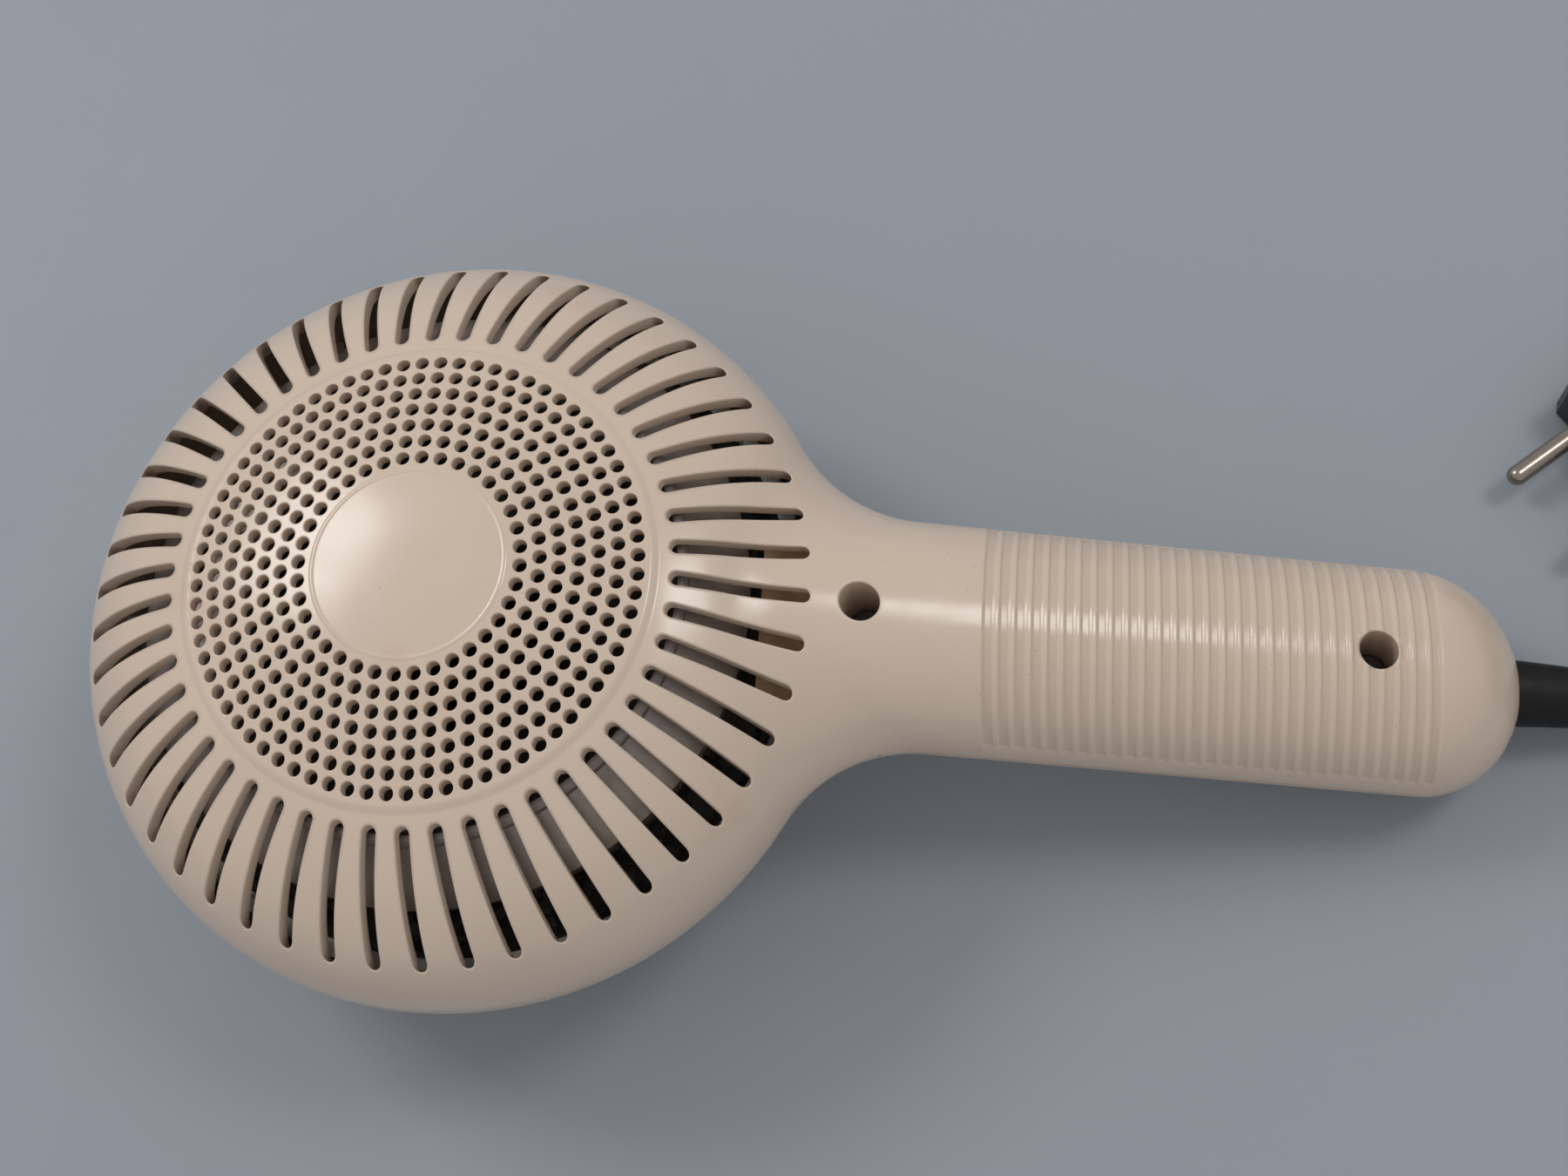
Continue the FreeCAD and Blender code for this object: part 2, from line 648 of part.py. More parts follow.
def armature_core():
    """A stack with five winding slots."""
    stack = upright(size["core_radius"], CORE_LOW, CORE_HIGH)
    slots = [upright(size["shaft_radius"], CORE_LOW - 1, CORE_HIGH + 1)]
    for index in range(5):
        pocket = joined([upright(3, CORE_LOW - 1, CORE_HIGH + 1, 8.2),
                         brick(8, 14, -0.8, 0.8, CORE_LOW - 1, CORE_HIGH + 1)])
        slots.append(turned_about_axis(pocket, 72 * index))
    return stack.cut(Part.makeCompound(slots))


def armature_windings():
    """Copper in the five slots, with its end turns above and below the stack."""
    copper = [turned_about_axis(upright(2.8, CORE_LOW - 2, CORE_HIGH + 2, 8.2), 72 * index)
              for index in range(5)]
    for low in (CORE_LOW - 2.2, CORE_HIGH + 0.1):
        copper.append(upright(11.4, low, low + 2.1).cut(upright(4.9, low - 1, low + 3)))
    return joined(copper)


feature(field_magnets(), "field_magnets")
feature(armature_core(), "armature_core")
feature(armature_windings(), "armature_windings")
tube("commutator", "commutator_radius", "shaft_radius", f"{BRACKET_TOP} + 3.5", CORE_LOW - 2.4)


def brushes():
    """Two carbon blocks with faces curved to the commutator."""
    low, high = 30.6, 33.6
    blocks = [brick(-1.4, 1.4, 3, 11, low, high), brick(-1.4, 1.4, -11, -3, low, high)]
    return Part.makeCompound(blocks).cut(upright(size["commutator_radius"] + 0.05, 20, 40))


feature(brushes(), "brushes")

# ---------------------------------------------------------------- fan

tube("fan_hub", 5, "shaft_radius", "can_top + 1.8", "fan_eye_height - 1")
CUP_TOP = "can_top + 4"
turned("fan_plate", [
    (5, CUP_TOP), ("can_radius + 3.2", CUP_TOP), ("can_radius + 3.2", "fan_plate_height + 1"),
    ("fan_plate_radius", "fan_plate_height + 1"), ("fan_plate_radius", "fan_plate_height"),
    ("can_radius + 2.2", "fan_plate_height"), ("can_radius + 2.2", f"{CUP_TOP} - 1"),
    (5, f"{CUP_TOP} - 1")])
turned("fan_ring", [
    ("fan_radius", "fan_edge_height"), ("fan_eye", "fan_eye_height"),
    ("fan_eye - 1.2", "fan_eye_height + 0.5"), ("fan_eye - 1.8", "fan_eye_height + 1.5"),
    ("fan_eye - 1.2", "fan_eye_height + 2.4"), ("fan_eye - 0.2", "fan_eye_height + 2.4"),
    ("fan_eye + 0.4", "fan_eye_height + 1.5"), ("fan_eye + 0.6", "fan_eye_height + 0.5"),
    ("fan_radius", "fan_edge_height + 0.9")])


def fan_blades():
    """Blades between the back plate and the ring, swept back from the radius."""
    slope = ((size["fan_eye_height"] - size["fan_edge_height"]) / (size["fan_radius"] - size["fan_eye"]))
    bottom = size["fan_plate_height"] + 1

    def under_ring(radius):
        return size["fan_edge_height"] + slope * (size["fan_radius"] - radius) - 0.02
    corners = [(41, bottom), (52.4, bottom), (54.2, bottom + 4), (54.2, under_ring(54.2)),
               (size["fan_eye"] + 0.5, under_ring(size["fan_eye"] + 0.5)), (41, bottom + 16)]
    points = [Vector(r, 0, z) for r, z in corners]
    zone = Part.Face(Part.makePolygon(points + points[:1])).revolve(Vector(), Vector(0, 0, 1), 360)
    blade = brick(-2, 22, -0.35, 0.35, 40, 75)
    blade.rotate(Vector(), Vector(0, 0, 1), -32)
    blade.translate(Vector(40, 3, 0))
    count = int(size["blade_count"])
    return Part.makeCompound([turned_about_axis(blade, 360 * index / count).common(zone)
                              for index in range(count)])


feature(fan_blades(), "fan_blades")

# ---------------------------------------------------------------- switch, board and small parts

def switch_knob():
    """The slider: a ribbed cap through the shell's slot, a plate inside and a driving prong."""
    middle = size["switch_place"]
    cap = brick(middle - 3.5, middle + 3.5, -3, 3, -17.2, -11.6)
    for index in range(3):
        cap = cap.cut(brick(middle - 2.4 + 2 * index, middle - 1.6 + 2 * index, -4, 4, -18, -16.7))
    inner_plate = brick(middle - 11.5, middle + 11.5, -5.2, 5.2, -11.6, -10.6)
    prong = brick(middle - 1, middle + 1, -1, 1, -10.6, -8.5)
    return tilted(joined([cap, inner_plate, prong]))


def switch_body():
    low, high = size["switch_place"] - 14, size["switch_place"] + size["switch_travel"] + 14
    case = brick(low, high, -7, 7, -10.3, 0.5)
    groove = brick(size["switch_place"] - 1.6, size["switch_place"] + size["switch_travel"] + 1.6,
                   -1.6, 1.6, -11, -7.5)
    return tilted(case.cut(groove))


CONTACTS = (20, 33, 46)


def switch_contacts():
    return tilted(Part.makeCompound([brick(s - 0.4, s + 0.4, -2, 2, 0.5, 5) for s in CONTACTS]))


feature(switch_knob(), "switch_knob")
feature(switch_body(), "switch_body")
feature(switch_contacts(), "switch_contacts")

node(block("terminal_board_sheet", 9, 34, 1.5, 60.5, 0, 46), "terminal_board")
diodes = []
for index in range(4):
    diode = doc.addObject("Part::Cylinder", f"diode_{index}")
    bind(diode, Radius=1.4, Height=5)
    diode.Placement = Placement(Vector(), Rotation(Vector(0, 1, 0), 90))
    diodes.append(place(diode, 58.2, 6 * index - 9, "46 - 1.4"))
grouped("rectifier_diodes", diodes)
feature(tilted(brick(16, 30, -14, -5, 2, 9)), "suppressor_capacitor")

# ---------------------------------------------------------------- lead inside the handle

def bent_tube(points, radius, label):
    """A round tube along straight runs joined by the largest tangent arcs that the runs allow."""
    corners = [Vector(*point) for point in points]
    edges = []
    tightest = 1e9
    here = corners[0]
    for before, corner, after in zip(corners, corners[1:], corners[2:]):
        run_in, run_out = corner - before, after - corner
        reach = 0.45 * min(run_in.Length, run_out.Length)
        into = Vector(run_in).normalize()
        out = Vector(run_out).normalize()
        turn = into.getAngle(out)
        bend = reach / math.tan(turn / 2)
        tightest = min(tightest, bend)
        start, end = corner - into * reach, corner + out * reach
        towards = (out - into).normalize()
        middle = corner + towards * (bend / math.cos(turn / 2) - bend)
        edges += [Part.LineSegment(here, start).toShape(), Part.Arc(start, middle, end).toShape()]
        here = end
    edges.append(Part.LineSegment(here, corners[-1]).toShape())
    path = Part.Wire(edges)
    section = Part.Wire(Part.makeCircle(radius, corners[0], corners[1] - corners[0]))
    solid = path.makePipeShell([section], True, False)
    expected = math.pi * radius ** 2 * path.Length
    print(f"{label}: {path.Length:.1f} mm long, tightest bend {tightest:.1f} mm, "
          f"volume {solid.Volume / expected:.4f} of section times length")
    return solid


SHEATH_END = (152, 9, 23.5)
inner_sheath = [tuple(relief_axis(-10)), (176, 4.5, 17.4), (166, 9.5, 19.8), SHEATH_END]
feature(bent_tube(inner_sheath, size["lead_radius"], "inner_sheath"), "inner_sheath")


def contact_top(place_along):
    point = along_handle(place_along, 5)
    return (point.x, point.y, point.z)


live_end = contact_top(CONTACTS[2])
live = [(152, 7.5, 23.5), (141, 6.5, 27), (131, 4, 34), (live_end[0] + 1, 0, live_end[2] + 1)]
feature(bent_tube(live, 0.9, "lead_live"), "lead_live")
neutral = [(152, 10.5, 23.5), (138, 12.5, 27.5), (116, 13, 34), (96, 12, 40.5), (82, 12, 44.4),
           (63.5, 12, 45.1)]
feature(bent_tube(neutral, 0.9, "lead_neutral"), "lead_neutral")
switched_end = contact_top(CONTACTS[0])
switched = [(switched_end[0] - 1, 0, switched_end[2] + 0.5), (90, -3, 46), (82, -9, 46.2),
            (76, -12.5, 45.4), (63.5, -12.5, 45.1)]
feature(bent_tube(switched, 0.9, "lead_switched"), "lead_switched")

CLAMP_Z = 26.1
clamp_blank = block("clamp_bar", 6, 16, 2, 156, 9, CLAMP_Z)
clamp_bores = fused("clamp_bores", [cylinder("clamp_bore_inner", 1.5, 20, 30, 156, 3.1),
                                    cylinder("clamp_bore_outer", 1.5, 20, 30, 156, 14.9)])
node(combined("Cut", "cord_clamp_cut", clamp_blank, clamp_bores), "cord_clamp")
grouped("clamp_screws", [
    round_screw(f"clamp_screw_{name}", 1.3, 2.2, CLAMP_Z - 6, CLAMP_Z + 2, 1.5, 156, aside)
    for name, aside in (("inner", 3.1), ("outer", 14.9))])


def case_screws():
    """The two long screws that hold the shells together."""
    screws = []
    for x in (size["well_near"], size["well_far"]):
        seat = well_bottom(x) + WELL_FLOOR
        head = upright(3, seat, seat + 2.2, x)
        driver_slot = brick(x - 3.2, x + 3.2, -0.45, 0.45, seat + 1.2, seat + 3)
        screws.append(upright(size["pilot_radius"], seat - 13, seat, x).fuse(head.cut(driver_slot)))
    return Part.makeCompound(screws)


feature(case_screws(), "case_screws")

# ---------------------------------------------------------------- strain relief, lead and plug

def strain_relief():
    """A collar behind the end wall, a neck through it and a long taper outside."""
    neck = size["relief_radius"]
    outside = relief_rod(neck, 0, size["relief_length"], size["relief_tip"])
    return joined([relief_rod(7.2, -10, -7), relief_rod(neck, -7, 0), outside])


feature(strain_relief(), "strain_relief")

TABLE = 0.1
LEAD_Z = size["lead_radius"] + TABLE
COIL_CENTRE = Vector(304.5, 40, 0)
relief_end = tuple(relief_axis(size["relief_length"]))
lead_route = [relief_end, (240.5, 0, LEAD_Z), (262, -2.2, LEAD_Z), (284, -3.6, LEAD_Z),
              (304.5, -3.5, LEAD_Z)]
feature(bent_tube(lead_route, size["lead_radius"], "mains_cord"), "mains_cord")


def lead_coil():
    """The outer shape of the put-away turns: three side by side, two on them, one on top."""
    mid, radius = size["lead_coil_mid"], size["lead_radius"]
    low, step = 2 * radius, 6.1
    corners = [(mid - 3 * radius, TABLE), (mid + 3 * radius, TABLE), (mid + 3 * radius, low - 1),
               (mid + 2 * radius, low + step - 1), (mid + radius, low + 2 * step),
               (mid - radius, low + 2 * step), (mid - 2 * radius, low + step - 1),
               (mid - 3 * radius, low - 1)]
    points = [Vector(r, 0, z) for r, z in corners]
    ring = Part.Face(Part.makePolygon(points + points[:1])).revolve(Vector(), Vector(0, 0, 1), 360)
    ring.translate(COIL_CENTRE)
    return ring


feature(lead_coil(), "cord_coil")

PLUG_FACE = Vector(217, 49.1, 6.9)
PLUG_TURN = 38
PLUG_BOOT_END = 56


def plug_placed(shape):
    """Turn a plug piece made along +X from its face and set it on the table."""
    copy = shape.copy()
    copy.Placement = Placement(PLUG_FACE, Rotation(Vector(0, 0, 1), PLUG_TURN))
    return copy


def plug_body():
    """A flat two-pin plug's body with its boot."""
    corners = [(0, -16), (1.6, -17.6), (20, -17.6), (36, -7), (36, 7), (20, 17.6), (1.6, 17.6), (0, 16)]
    points = [Vector(x, y, -6.8) for x, y in corners]
    slab = Part.Face(Part.makePolygon(points + points[:1])).extrude(Vector(0, 0, 13.6))
    slab = slab.makeFillet(2, [edge for edge in slab.Edges if abs(edge.CenterOfMass.z) > 6.7])
    boot = Part.makeCone(5, 3.9, PLUG_BOOT_END - 34, Vector(34, 0, 0), Vector(1, 0, 0))
    return plug_placed(joined([slab, boot]))


def plug_pins():
    """Two round pins with rounded tips."""
    radius, length = size["pin_radius"], size["pin_length"]
    pins = []
    for side in (-1, 1):
        root = Vector(0, side * size["pin_spacing"] / 2, 0)
        rod = Part.makeCylinder(radius, length - radius, root, Vector(-1, 0, 0))
        tip = Part.makeSphere(radius, root - Vector(length - radius, 0, 0))
        pins.append(rod.fuse(tip).removeSplitter())
    return plug_placed(Part.makeCompound(pins))


feature(plug_body(), "plug_body")
feature(plug_pins(), "plug_pins")
boot_end = plug_placed(Part.Vertex(PLUG_BOOT_END, 0, 0)).Point
lead_end_route = [(342.4, 57.2, 15.7), (336.3, 78.3, 13), (321, 94.1, 8.6), (300.1, 100.9, 5.2),
                  (278.4, 97.1, 5.6), tuple(boot_end)]
feature(bent_tube(lead_end_route, size["lead_radius"], "mains_cord_end"), "mains_cord_end")

# ---------------------------------------------------------------- checks and export

doc.recompute()
for thing in doc.Objects:
    if "Invalid" in thing.State or "Error" in thing.State:
        raise RuntimeError(f"{thing.Label} did not compute: {thing.State}")
for thing in nodes:
    if thing.Shape.isNull() or not thing.Shape.isValid():
        raise RuntimeError(f"{thing.Label} has no valid shape")
    if not thing.Shape.Solids:
        raise RuntimeError(f"{thing.Label} has no solid")

os.makedirs("parts", exist_ok=True)
for thing in nodes:
    thing.Shape.exportStep(os.path.join("parts", f"{thing.Label}.step"))
print(f"{len(nodes)} sub-parts written")
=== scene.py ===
import bpy
import json
import math
import numpy as np
from mathutils import Matrix, Vector, geometry, kdtree


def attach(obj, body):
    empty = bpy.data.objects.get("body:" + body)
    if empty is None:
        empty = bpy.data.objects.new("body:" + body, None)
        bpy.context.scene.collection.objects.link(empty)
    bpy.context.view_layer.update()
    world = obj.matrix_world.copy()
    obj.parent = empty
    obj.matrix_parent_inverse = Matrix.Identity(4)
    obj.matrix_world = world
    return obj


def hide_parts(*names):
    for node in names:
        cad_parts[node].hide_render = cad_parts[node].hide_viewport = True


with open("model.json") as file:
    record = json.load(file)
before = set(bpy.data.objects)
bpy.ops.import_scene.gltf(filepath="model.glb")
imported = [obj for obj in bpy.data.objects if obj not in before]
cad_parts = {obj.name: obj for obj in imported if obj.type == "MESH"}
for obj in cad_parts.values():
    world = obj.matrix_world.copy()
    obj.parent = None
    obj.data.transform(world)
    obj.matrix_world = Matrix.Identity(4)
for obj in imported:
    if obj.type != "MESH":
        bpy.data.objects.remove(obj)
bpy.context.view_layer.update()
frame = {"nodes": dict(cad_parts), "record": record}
scene = bpy.context.scene
MM = 0.001
HEAD = Vector((-61.5, 0, 0))  # the head's axis, in millimetres like all of the object's lengths

TOP, SEAM = 79, 42  # heights over the table
RIM, LENGTH = 71, 265  # radius of the head, and the casing's whole length
CROWN, STEP, BOWL = 165, 41.8, 20  # radii of the dome, of the step round it and of the bowl
FIRST, SECOND = math.asin(STEP / CROWN), math.radians(50)  # where the dome and the shoulder end
DIP = math.tan(math.radians(14.1))  # fall of the handle
BEND = 78.6  # where the seam turns down; places along the handle count from the head's axis
HALF, RISE = 21.2, 19.1  # the handle's half width, and its top over the seam
CAP = 20  # length of the handle's rounded end
END = LENGTH - RIM
FILLET = 30  # between head and handle
WALL = 2.5
WELLS = ((75.4, 41.8), (165.2, 20.7))  # place, and height of the floor's underside
WELL_BORE, WELL_OUTSIDE, SCREW_BORE, WELL_FLOOR = 3.45, 4.4, 1.7, 2
BADGE = 16.9  # radius of the raised ring round the plain disc
HOLE_RINGS, HOLE_PITCH, HOLE_BORE = range(6, 13), 3.25, 1.2
SLOTS, SLOT_INNER, SLOT_OUTER, SLOT_HALF = 50, 44.2, 65.9, 1.22
NECK_EXTRA, NECK_SPREAD = 1.2, 0.3  # the slots beside the neck are longer: how much, and over what angle
HOLE_LIP, SLOT_LIP, WELL_LIP = 0.26, 0.42, 0.45  # radii of the openings' rounded edges
GROOVE_FIRST, GROOVE_PITCH, GROOVE_COUNT = 97.3, 2.79, 29
GROOVE_END = 20.3  # how far the grooves run to either side


def srgb(red, green, blue):
    """A linear colour from the usual 0 to 255 values."""
    def linear(value):
        value /= 255
        return value / 12.92 if value <= 0.04045 else ((value + 0.055) / 1.055) ** 2.4
    return (linear(red), linear(green), linear(blue), 1)


# ---------------------------------------------------------------- camera, in metres

camera_data = bpy.data.cameras.new("camera")
camera_data.sensor_width = 36
camera_data.lens = 44.92
camera_data.clip_start = 0.01
camera = bpy.data.objects.new("camera", camera_data)
scene.collection.objects.link(camera)
looking = Vector((-0.14404, 0.31293, -0.93879))
across = Vector((0.98944, 0.06093, -0.13150))
above = across.cross(looking)
camera.matrix_world = Matrix.Translation((0.04947, -0.10387, 0.37953)) @ Matrix(
    (across, above, -looking)).transposed().to_4x4()
scene.camera = camera

# ---------------------------------------------------------------- lead

LEAD = 7  # diameter


def nurbs(name, points, bevel):
    """A round cord along control points in millimetres."""
    data = bpy.data.curves.new(name, "CURVE")
    data.dimensions = "3D"
    data.bevel_depth = 1
    data.bevel_resolution = 5
    data.resolution_u = 10
    data.use_fill_caps = True
    spline = data.splines.new("NURBS")
    spline.points.add(len(points) - 1)
    for point, place in zip(spline.points, points):
        point.co = (*(Vector(place) * MM), 1)
        point.radius = bevel * MM
    spline.order_u = 3
    spline.use_endpoint_u = True
    thing = bpy.data.objects.new(name, data)
    scene.collection.objects.link(thing)
    return thing


def eased(share):
    share = min(max(share, 0), 1)
    return share * share * (3 - 2 * share)


COIL = Vector((243, 40, 0))  # middle of the put-away turns
COIL_RADIUS = 43.5
PER_TURN = 20  # control points in a turn
BASE = 3.6  # height of the lead's middle on the table
LAYER_ENDS = (740, 1580, 1914)  # degrees turned at the end of each layer
SPACING, LIFT = 7, 7.1  # from turn to turn, sideways and upwards


def coil_point(turned):
    """The put-away turns: two inwards on the table, two outwards on them and one on top."""
    first, second, third = LAYER_ENDS
    climb, pause, run_out = 75, 50, 70
    if turned <= first:
        radius, height = COIL_RADIUS - SPACING * turned / 360, 0
    elif turned <= second:
        radius = COIL_RADIUS + SPACING * (max(0, turned - first - pause) - first) / 360
        height = LIFT * eased((turned - first) / climb)
    else:
        closing, sinking = 5.5 * (turned - second), 2.2 * eased((turned - third + run_out) / run_out)
        radius = COIL_RADIUS + (SPACING * (second - 2 * first - pause) - closing) / 360
        height = LIFT * (1 + eased((turned - second) / climb)) - sinking
    angle = math.radians(turned - 90)
    return COIL + Vector((radius * math.cos(angle), radius * math.sin(angle), BASE + height))


route = [(167.84, 0, 5.73), (179, 0, 4), (200.5, -2.2, BASE), (222.5, -3.6, BASE)]
turns = [coil_point(step * 360 / PER_TURN) for step in range(int(LAYER_ENDS[-1] * PER_TURN / 360) + 1)]
down = [(274.8, 78.3, 13.6), (259.5, 93.6, 8.6), (238.6, 99.6, 5.2), (216.9, 96.6, 6.2),
        (199.63, 83.58, 6.9)]
lead = nurbs("mains_lead", route + turns + down, LEAD / 2)
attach(lead, "dryer")
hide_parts("mains_cord", "cord_coil", "mains_cord_end")

# ---------------------------------------------------------------- floor and light, in metres

bpy.ops.mesh.primitive_plane_add(size=6, location=(0, 0, 0))
floor = bpy.context.object
floor.name = "floor"

world = bpy.data.worlds.new("studio")
scene.world = world
world.use_nodes = True
sky = world.node_tree.nodes["Background"]
sky.inputs["Color"].default_value = (1.0, 0.963, 0.92, 1)
sky.inputs["Strength"].default_value = 0.53


def softbox(name, place, aim, width, height, power, colour):
    """A large rectangular light."""
    data = bpy.data.lights.new(name, "AREA")
    data.shape = "RECTANGLE"
    data.size, data.size_y = width, height
    data.energy = power
    data.color = colour
    thing = bpy.data.objects.new(name, data)
    scene.collection.objects.link(thing)
    thing.location = place
    thing.rotation_mode = "QUATERNION"
    thing.rotation_quaternion = (Vector(aim) - Vector(place)).to_track_quat("-Z", "Y")
    return thing


softbox("left_box", (-0.78, 0.44, 1.05), (0, 0.02, 0.03), 0.42, 0.4, 4.5, (1.0, 0.985, 0.97))
softbox("right_box", (0.62, 0.34, 1.15), (0, 0, 0.04), 0.32, 0.34, 2.8, (1.0, 0.99, 0.975))
scene.view_settings.view_transform = "Standard"

# ---------------------------------------------------------------- materials


def blank_material(name):
    made = bpy.data.materials.new(name)
    made.use_nodes = True
    return made, made.node_tree.nodes, made.node_tree.links


def noise(nodes, links, coordinates, scale, detail=4, roughness=0.55, stretch=None):
    """Noise in the object's own coordinates; scale is features per metre."""
    source = coordinates
    if stretch:
        mapping = nodes.new("ShaderNodeMapping")
        mapping.inputs["Scale"].default_value = stretch
        links.new(coordinates, mapping.inputs["Vector"])
        source = mapping.outputs["Vector"]
    made = nodes.new("ShaderNodeTexNoise")
    made.inputs["Scale"].default_value = scale
    made.inputs["Detail"].default_value = detail
    made.inputs["Roughness"].default_value = roughness
    links.new(source, made.inputs["Vector"])
    return made.outputs["Fac"]


def ramp(nodes, links, value, stops):
    """A colour ramp from (position, colour) stops."""
    made = nodes.new("ShaderNodeValToRGB")
    elements = made.color_ramp.elements
    while len(elements) < len(stops):
        elements.new(0.5)
    for element, (position, colour) in zip(elements, stops):
        element.position = position
        element.color = colour if hasattr(colour, "__len__") else (colour, colour, colour, 1)
    links.new(value, made.inputs["Fac"])
    return made.outputs["Color"]


def mixed(nodes, links, share, one, two, how="MIX"):
    """Two colours mixed by a value or a number."""
    made = nodes.new("ShaderNodeMix")
    made.data_type = "RGBA"
    made.blend_type = how
    for socket, value in ((made.inputs["Factor"], share), (made.inputs[6], one), (made.inputs[7], two)):
        if isinstance(value, bpy.types.NodeSocket):
            links.new(value, socket)
        else:
            socket.default_value = value
    return made.outputs[2]


def finish(name, colour, roughness=0.4, metallic=0.0, grain=900, bump=0.02, depth=0.00002,
           vary=0.06, spread=0.08, patch=90, stretch=None, coat=0.0, specular=0.5, extra=None):
    """A surface with patchy colour, uneven gloss and a fine grain."""
    made, nodes, links = blank_material(name)
    shader = nodes["Principled BSDF"]
    coordinates = nodes.new("ShaderNodeTexCoord").outputs["Object"]
    broad = noise(nodes, links, coordinates, patch, 5, 0.6, stretch)
    dark = tuple(channel * (1 - vary) for channel in colour[:3]) + (1,)
    light = tuple(min(1, channel * (1 + vary)) for channel in colour[:3]) + (1,)
    tint = ramp(nodes, links, broad, [(0.3, dark), (0.7, light)])
    gloss = ramp(nodes, links, noise(nodes, links, coordinates, patch * 2.7, 6, 0.65, stretch),
                 [(0.3, max(0.02, roughness - spread)), (0.75, min(1, roughness + spread))])
    if extra:
        tint, gloss = extra(nodes, links, coordinates, tint, gloss)
    links.new(tint, shader.inputs["Base Color"])
    links.new(gloss, shader.inputs["Roughness"])
    shader.inputs["Metallic"].default_value = metallic
    shader.inputs["Specular IOR Level"].default_value = specular
    shader.inputs["Coat Weight"].default_value = coat
    fine = noise(nodes, links, coordinates, grain, 3, 0.5, stretch)
    relief = nodes.new("ShaderNodeBump")
    relief.inputs["Strength"].default_value = bump
    relief.inputs["Distance"].default_value = depth
    links.new(fine, relief.inputs["Height"])
    links.new(relief.outputs["Normal"], shader.inputs["Normal"])
    return made


def maths(nodes, links, operation, *values):
    """One Math node over sockets or numbers."""
    made = nodes.new("ShaderNodeMath")
    made.operation = operation
    for socket, value in zip(made.inputs, values):
        if isinstance(value, bpy.types.NodeSocket):
            links.new(value, socket)
        else:
            socket.default_value = value
    return made.outputs[0]


def groove_shade_and_grime(nodes, links, coordinates):
    """1 in the floors of the grip grooves of the back shell, 0 elsewhere; the mask of the painted shade and
    grime in the grooves.
    """
    split = nodes.new("ShaderNodeSeparateXYZ")
    links.new(coordinates, split.inputs[0])
    x, y, z = split.outputs
    start, pitch = (GROOVE_FIRST + HEAD.x) * MM, GROOVE_PITCH * MM
    side = (GROOVE_END + 0.1) * MM
    over_seam = maths(nodes, links, "ADD", z, maths(nodes, links, "MULTIPLY", x, DIP))
    phase = maths(nodes, links, "FRACT", maths(nodes, links, "DIVIDE", maths(
        nodes, links, "SUBTRACT", x, start - pitch / 2), pitch))
    centre = maths(nodes, links, "ABSOLUTE", maths(nodes, links, "SUBTRACT", phase, 0.5))
    floor_share = ramp(nodes, links, centre, [(0.2, 1.0), (0.36, 0.0)])
    for value, low, high in ((x, start - pitch / 2, start + (GROOVE_COUNT - 0.5) * pitch), (y, -side, side),
                             (over_seam, (SEAM + DIP * (BEND + HEAD.x) + 4) * MM, 1.0)):
        inside = maths(nodes, links, "MULTIPLY", maths(nodes, links, "GREATER_THAN", value, low),
                       maths(nodes, links, "LESS_THAN", value, high))
        floor_share = maths(nodes, links, "MULTIPLY", floor_share, inside)
    return floor_share


def fan_painted_shade(nodes, links, coordinates, tint, gloss):
    """Fan metal with painted shade, near black towards its axis, and darker and browner at its edge; the
    stops are radii in units of 100 mm.
    """
    mapping = nodes.new("ShaderNodeMapping")
    mapping.inputs["Location"].default_value = (-HEAD.x * MM, 0, 0)
    mapping.inputs["Scale"].default_value = (1, 1, 0)
    links.new(coordinates, mapping.inputs["Vector"])
    reach = nodes.new("ShaderNodeVectorMath")
    reach.operation = "LENGTH"
    links.new(mapping.outputs["Vector"], reach.inputs[0])
    shade = ramp(nodes, links, maths(nodes, links, "MULTIPLY", reach.outputs["Value"], 10),
                 [(0.39, (0.05, 0.045, 0.04, 1)), (0.455, (0.8, 0.78, 0.8, 1)), (0.52, (1, 0.97, 0.97, 1)),
                  (0.58, (0.6, 0.52, 0.46, 1))])
    return mixed(nodes, links, 1.0, tint, shade, "MULTIPLY"), gloss


def spangled(nodes, links, coordinates, tint, gloss):
    """The crystal pattern of galvanised sheet."""
    cells = nodes.new("ShaderNodeTexVoronoi")
    cells.inputs["Scale"].default_value = 330
    links.new(coordinates, cells.inputs["Vector"])
    shade = ramp(nodes, links, maths(nodes, links, "FRACT", maths(
        nodes, links, "MULTIPLY", cells.outputs["Color"], 1.7)), [(0.1, 0.4), (0.9, 1.0)])
    sheen = ramp(nodes, links, cells.outputs["Color"], [(0.2, 0.24), (0.9, 0.55)])
    return mixed(nodes, links, 1.0, tint, shade, "MULTIPLY"), sheen


def aged_and_groove_shaded(nodes, links, coordinates, tint, gloss):
    """Painted shade with grime in the grooves, faint warm stains and tiny dark specks on old plastic."""
    # painted shade with some grime: the groove floors mixed 22 % towards a darker brownish grey
    tint = mixed(nodes, links, maths(nodes, links, "MULTIPLY", groove_shade_and_grime(nodes, links, coordinates), 0.22),
                 tint, srgb(168, 143, 125))
    stain = noise(nodes, links, coordinates, 34, 4, 0.6)
    tint = mixed(nodes, links, ramp(nodes, links, stain, [(0.62, 0.0), (0.74, 0.35)]), tint,
                 srgb(204, 172, 150))
    cells = nodes.new("ShaderNodeTexVoronoi")
    cells.inputs["Scale"].default_value = 260
    links.new(coordinates, cells.inputs["Vector"])
    speck = ramp(nodes, links, cells.outputs["Distance"], [(0.03, 1.0), (0.055, 0.0)])
    tint = mixed(nodes, links, mixed(nodes, links, 1.0, speck, (0.35, 0.35, 0.35, 1), "MULTIPLY"),
                 tint, srgb(120, 98, 78))
    return tint, gloss


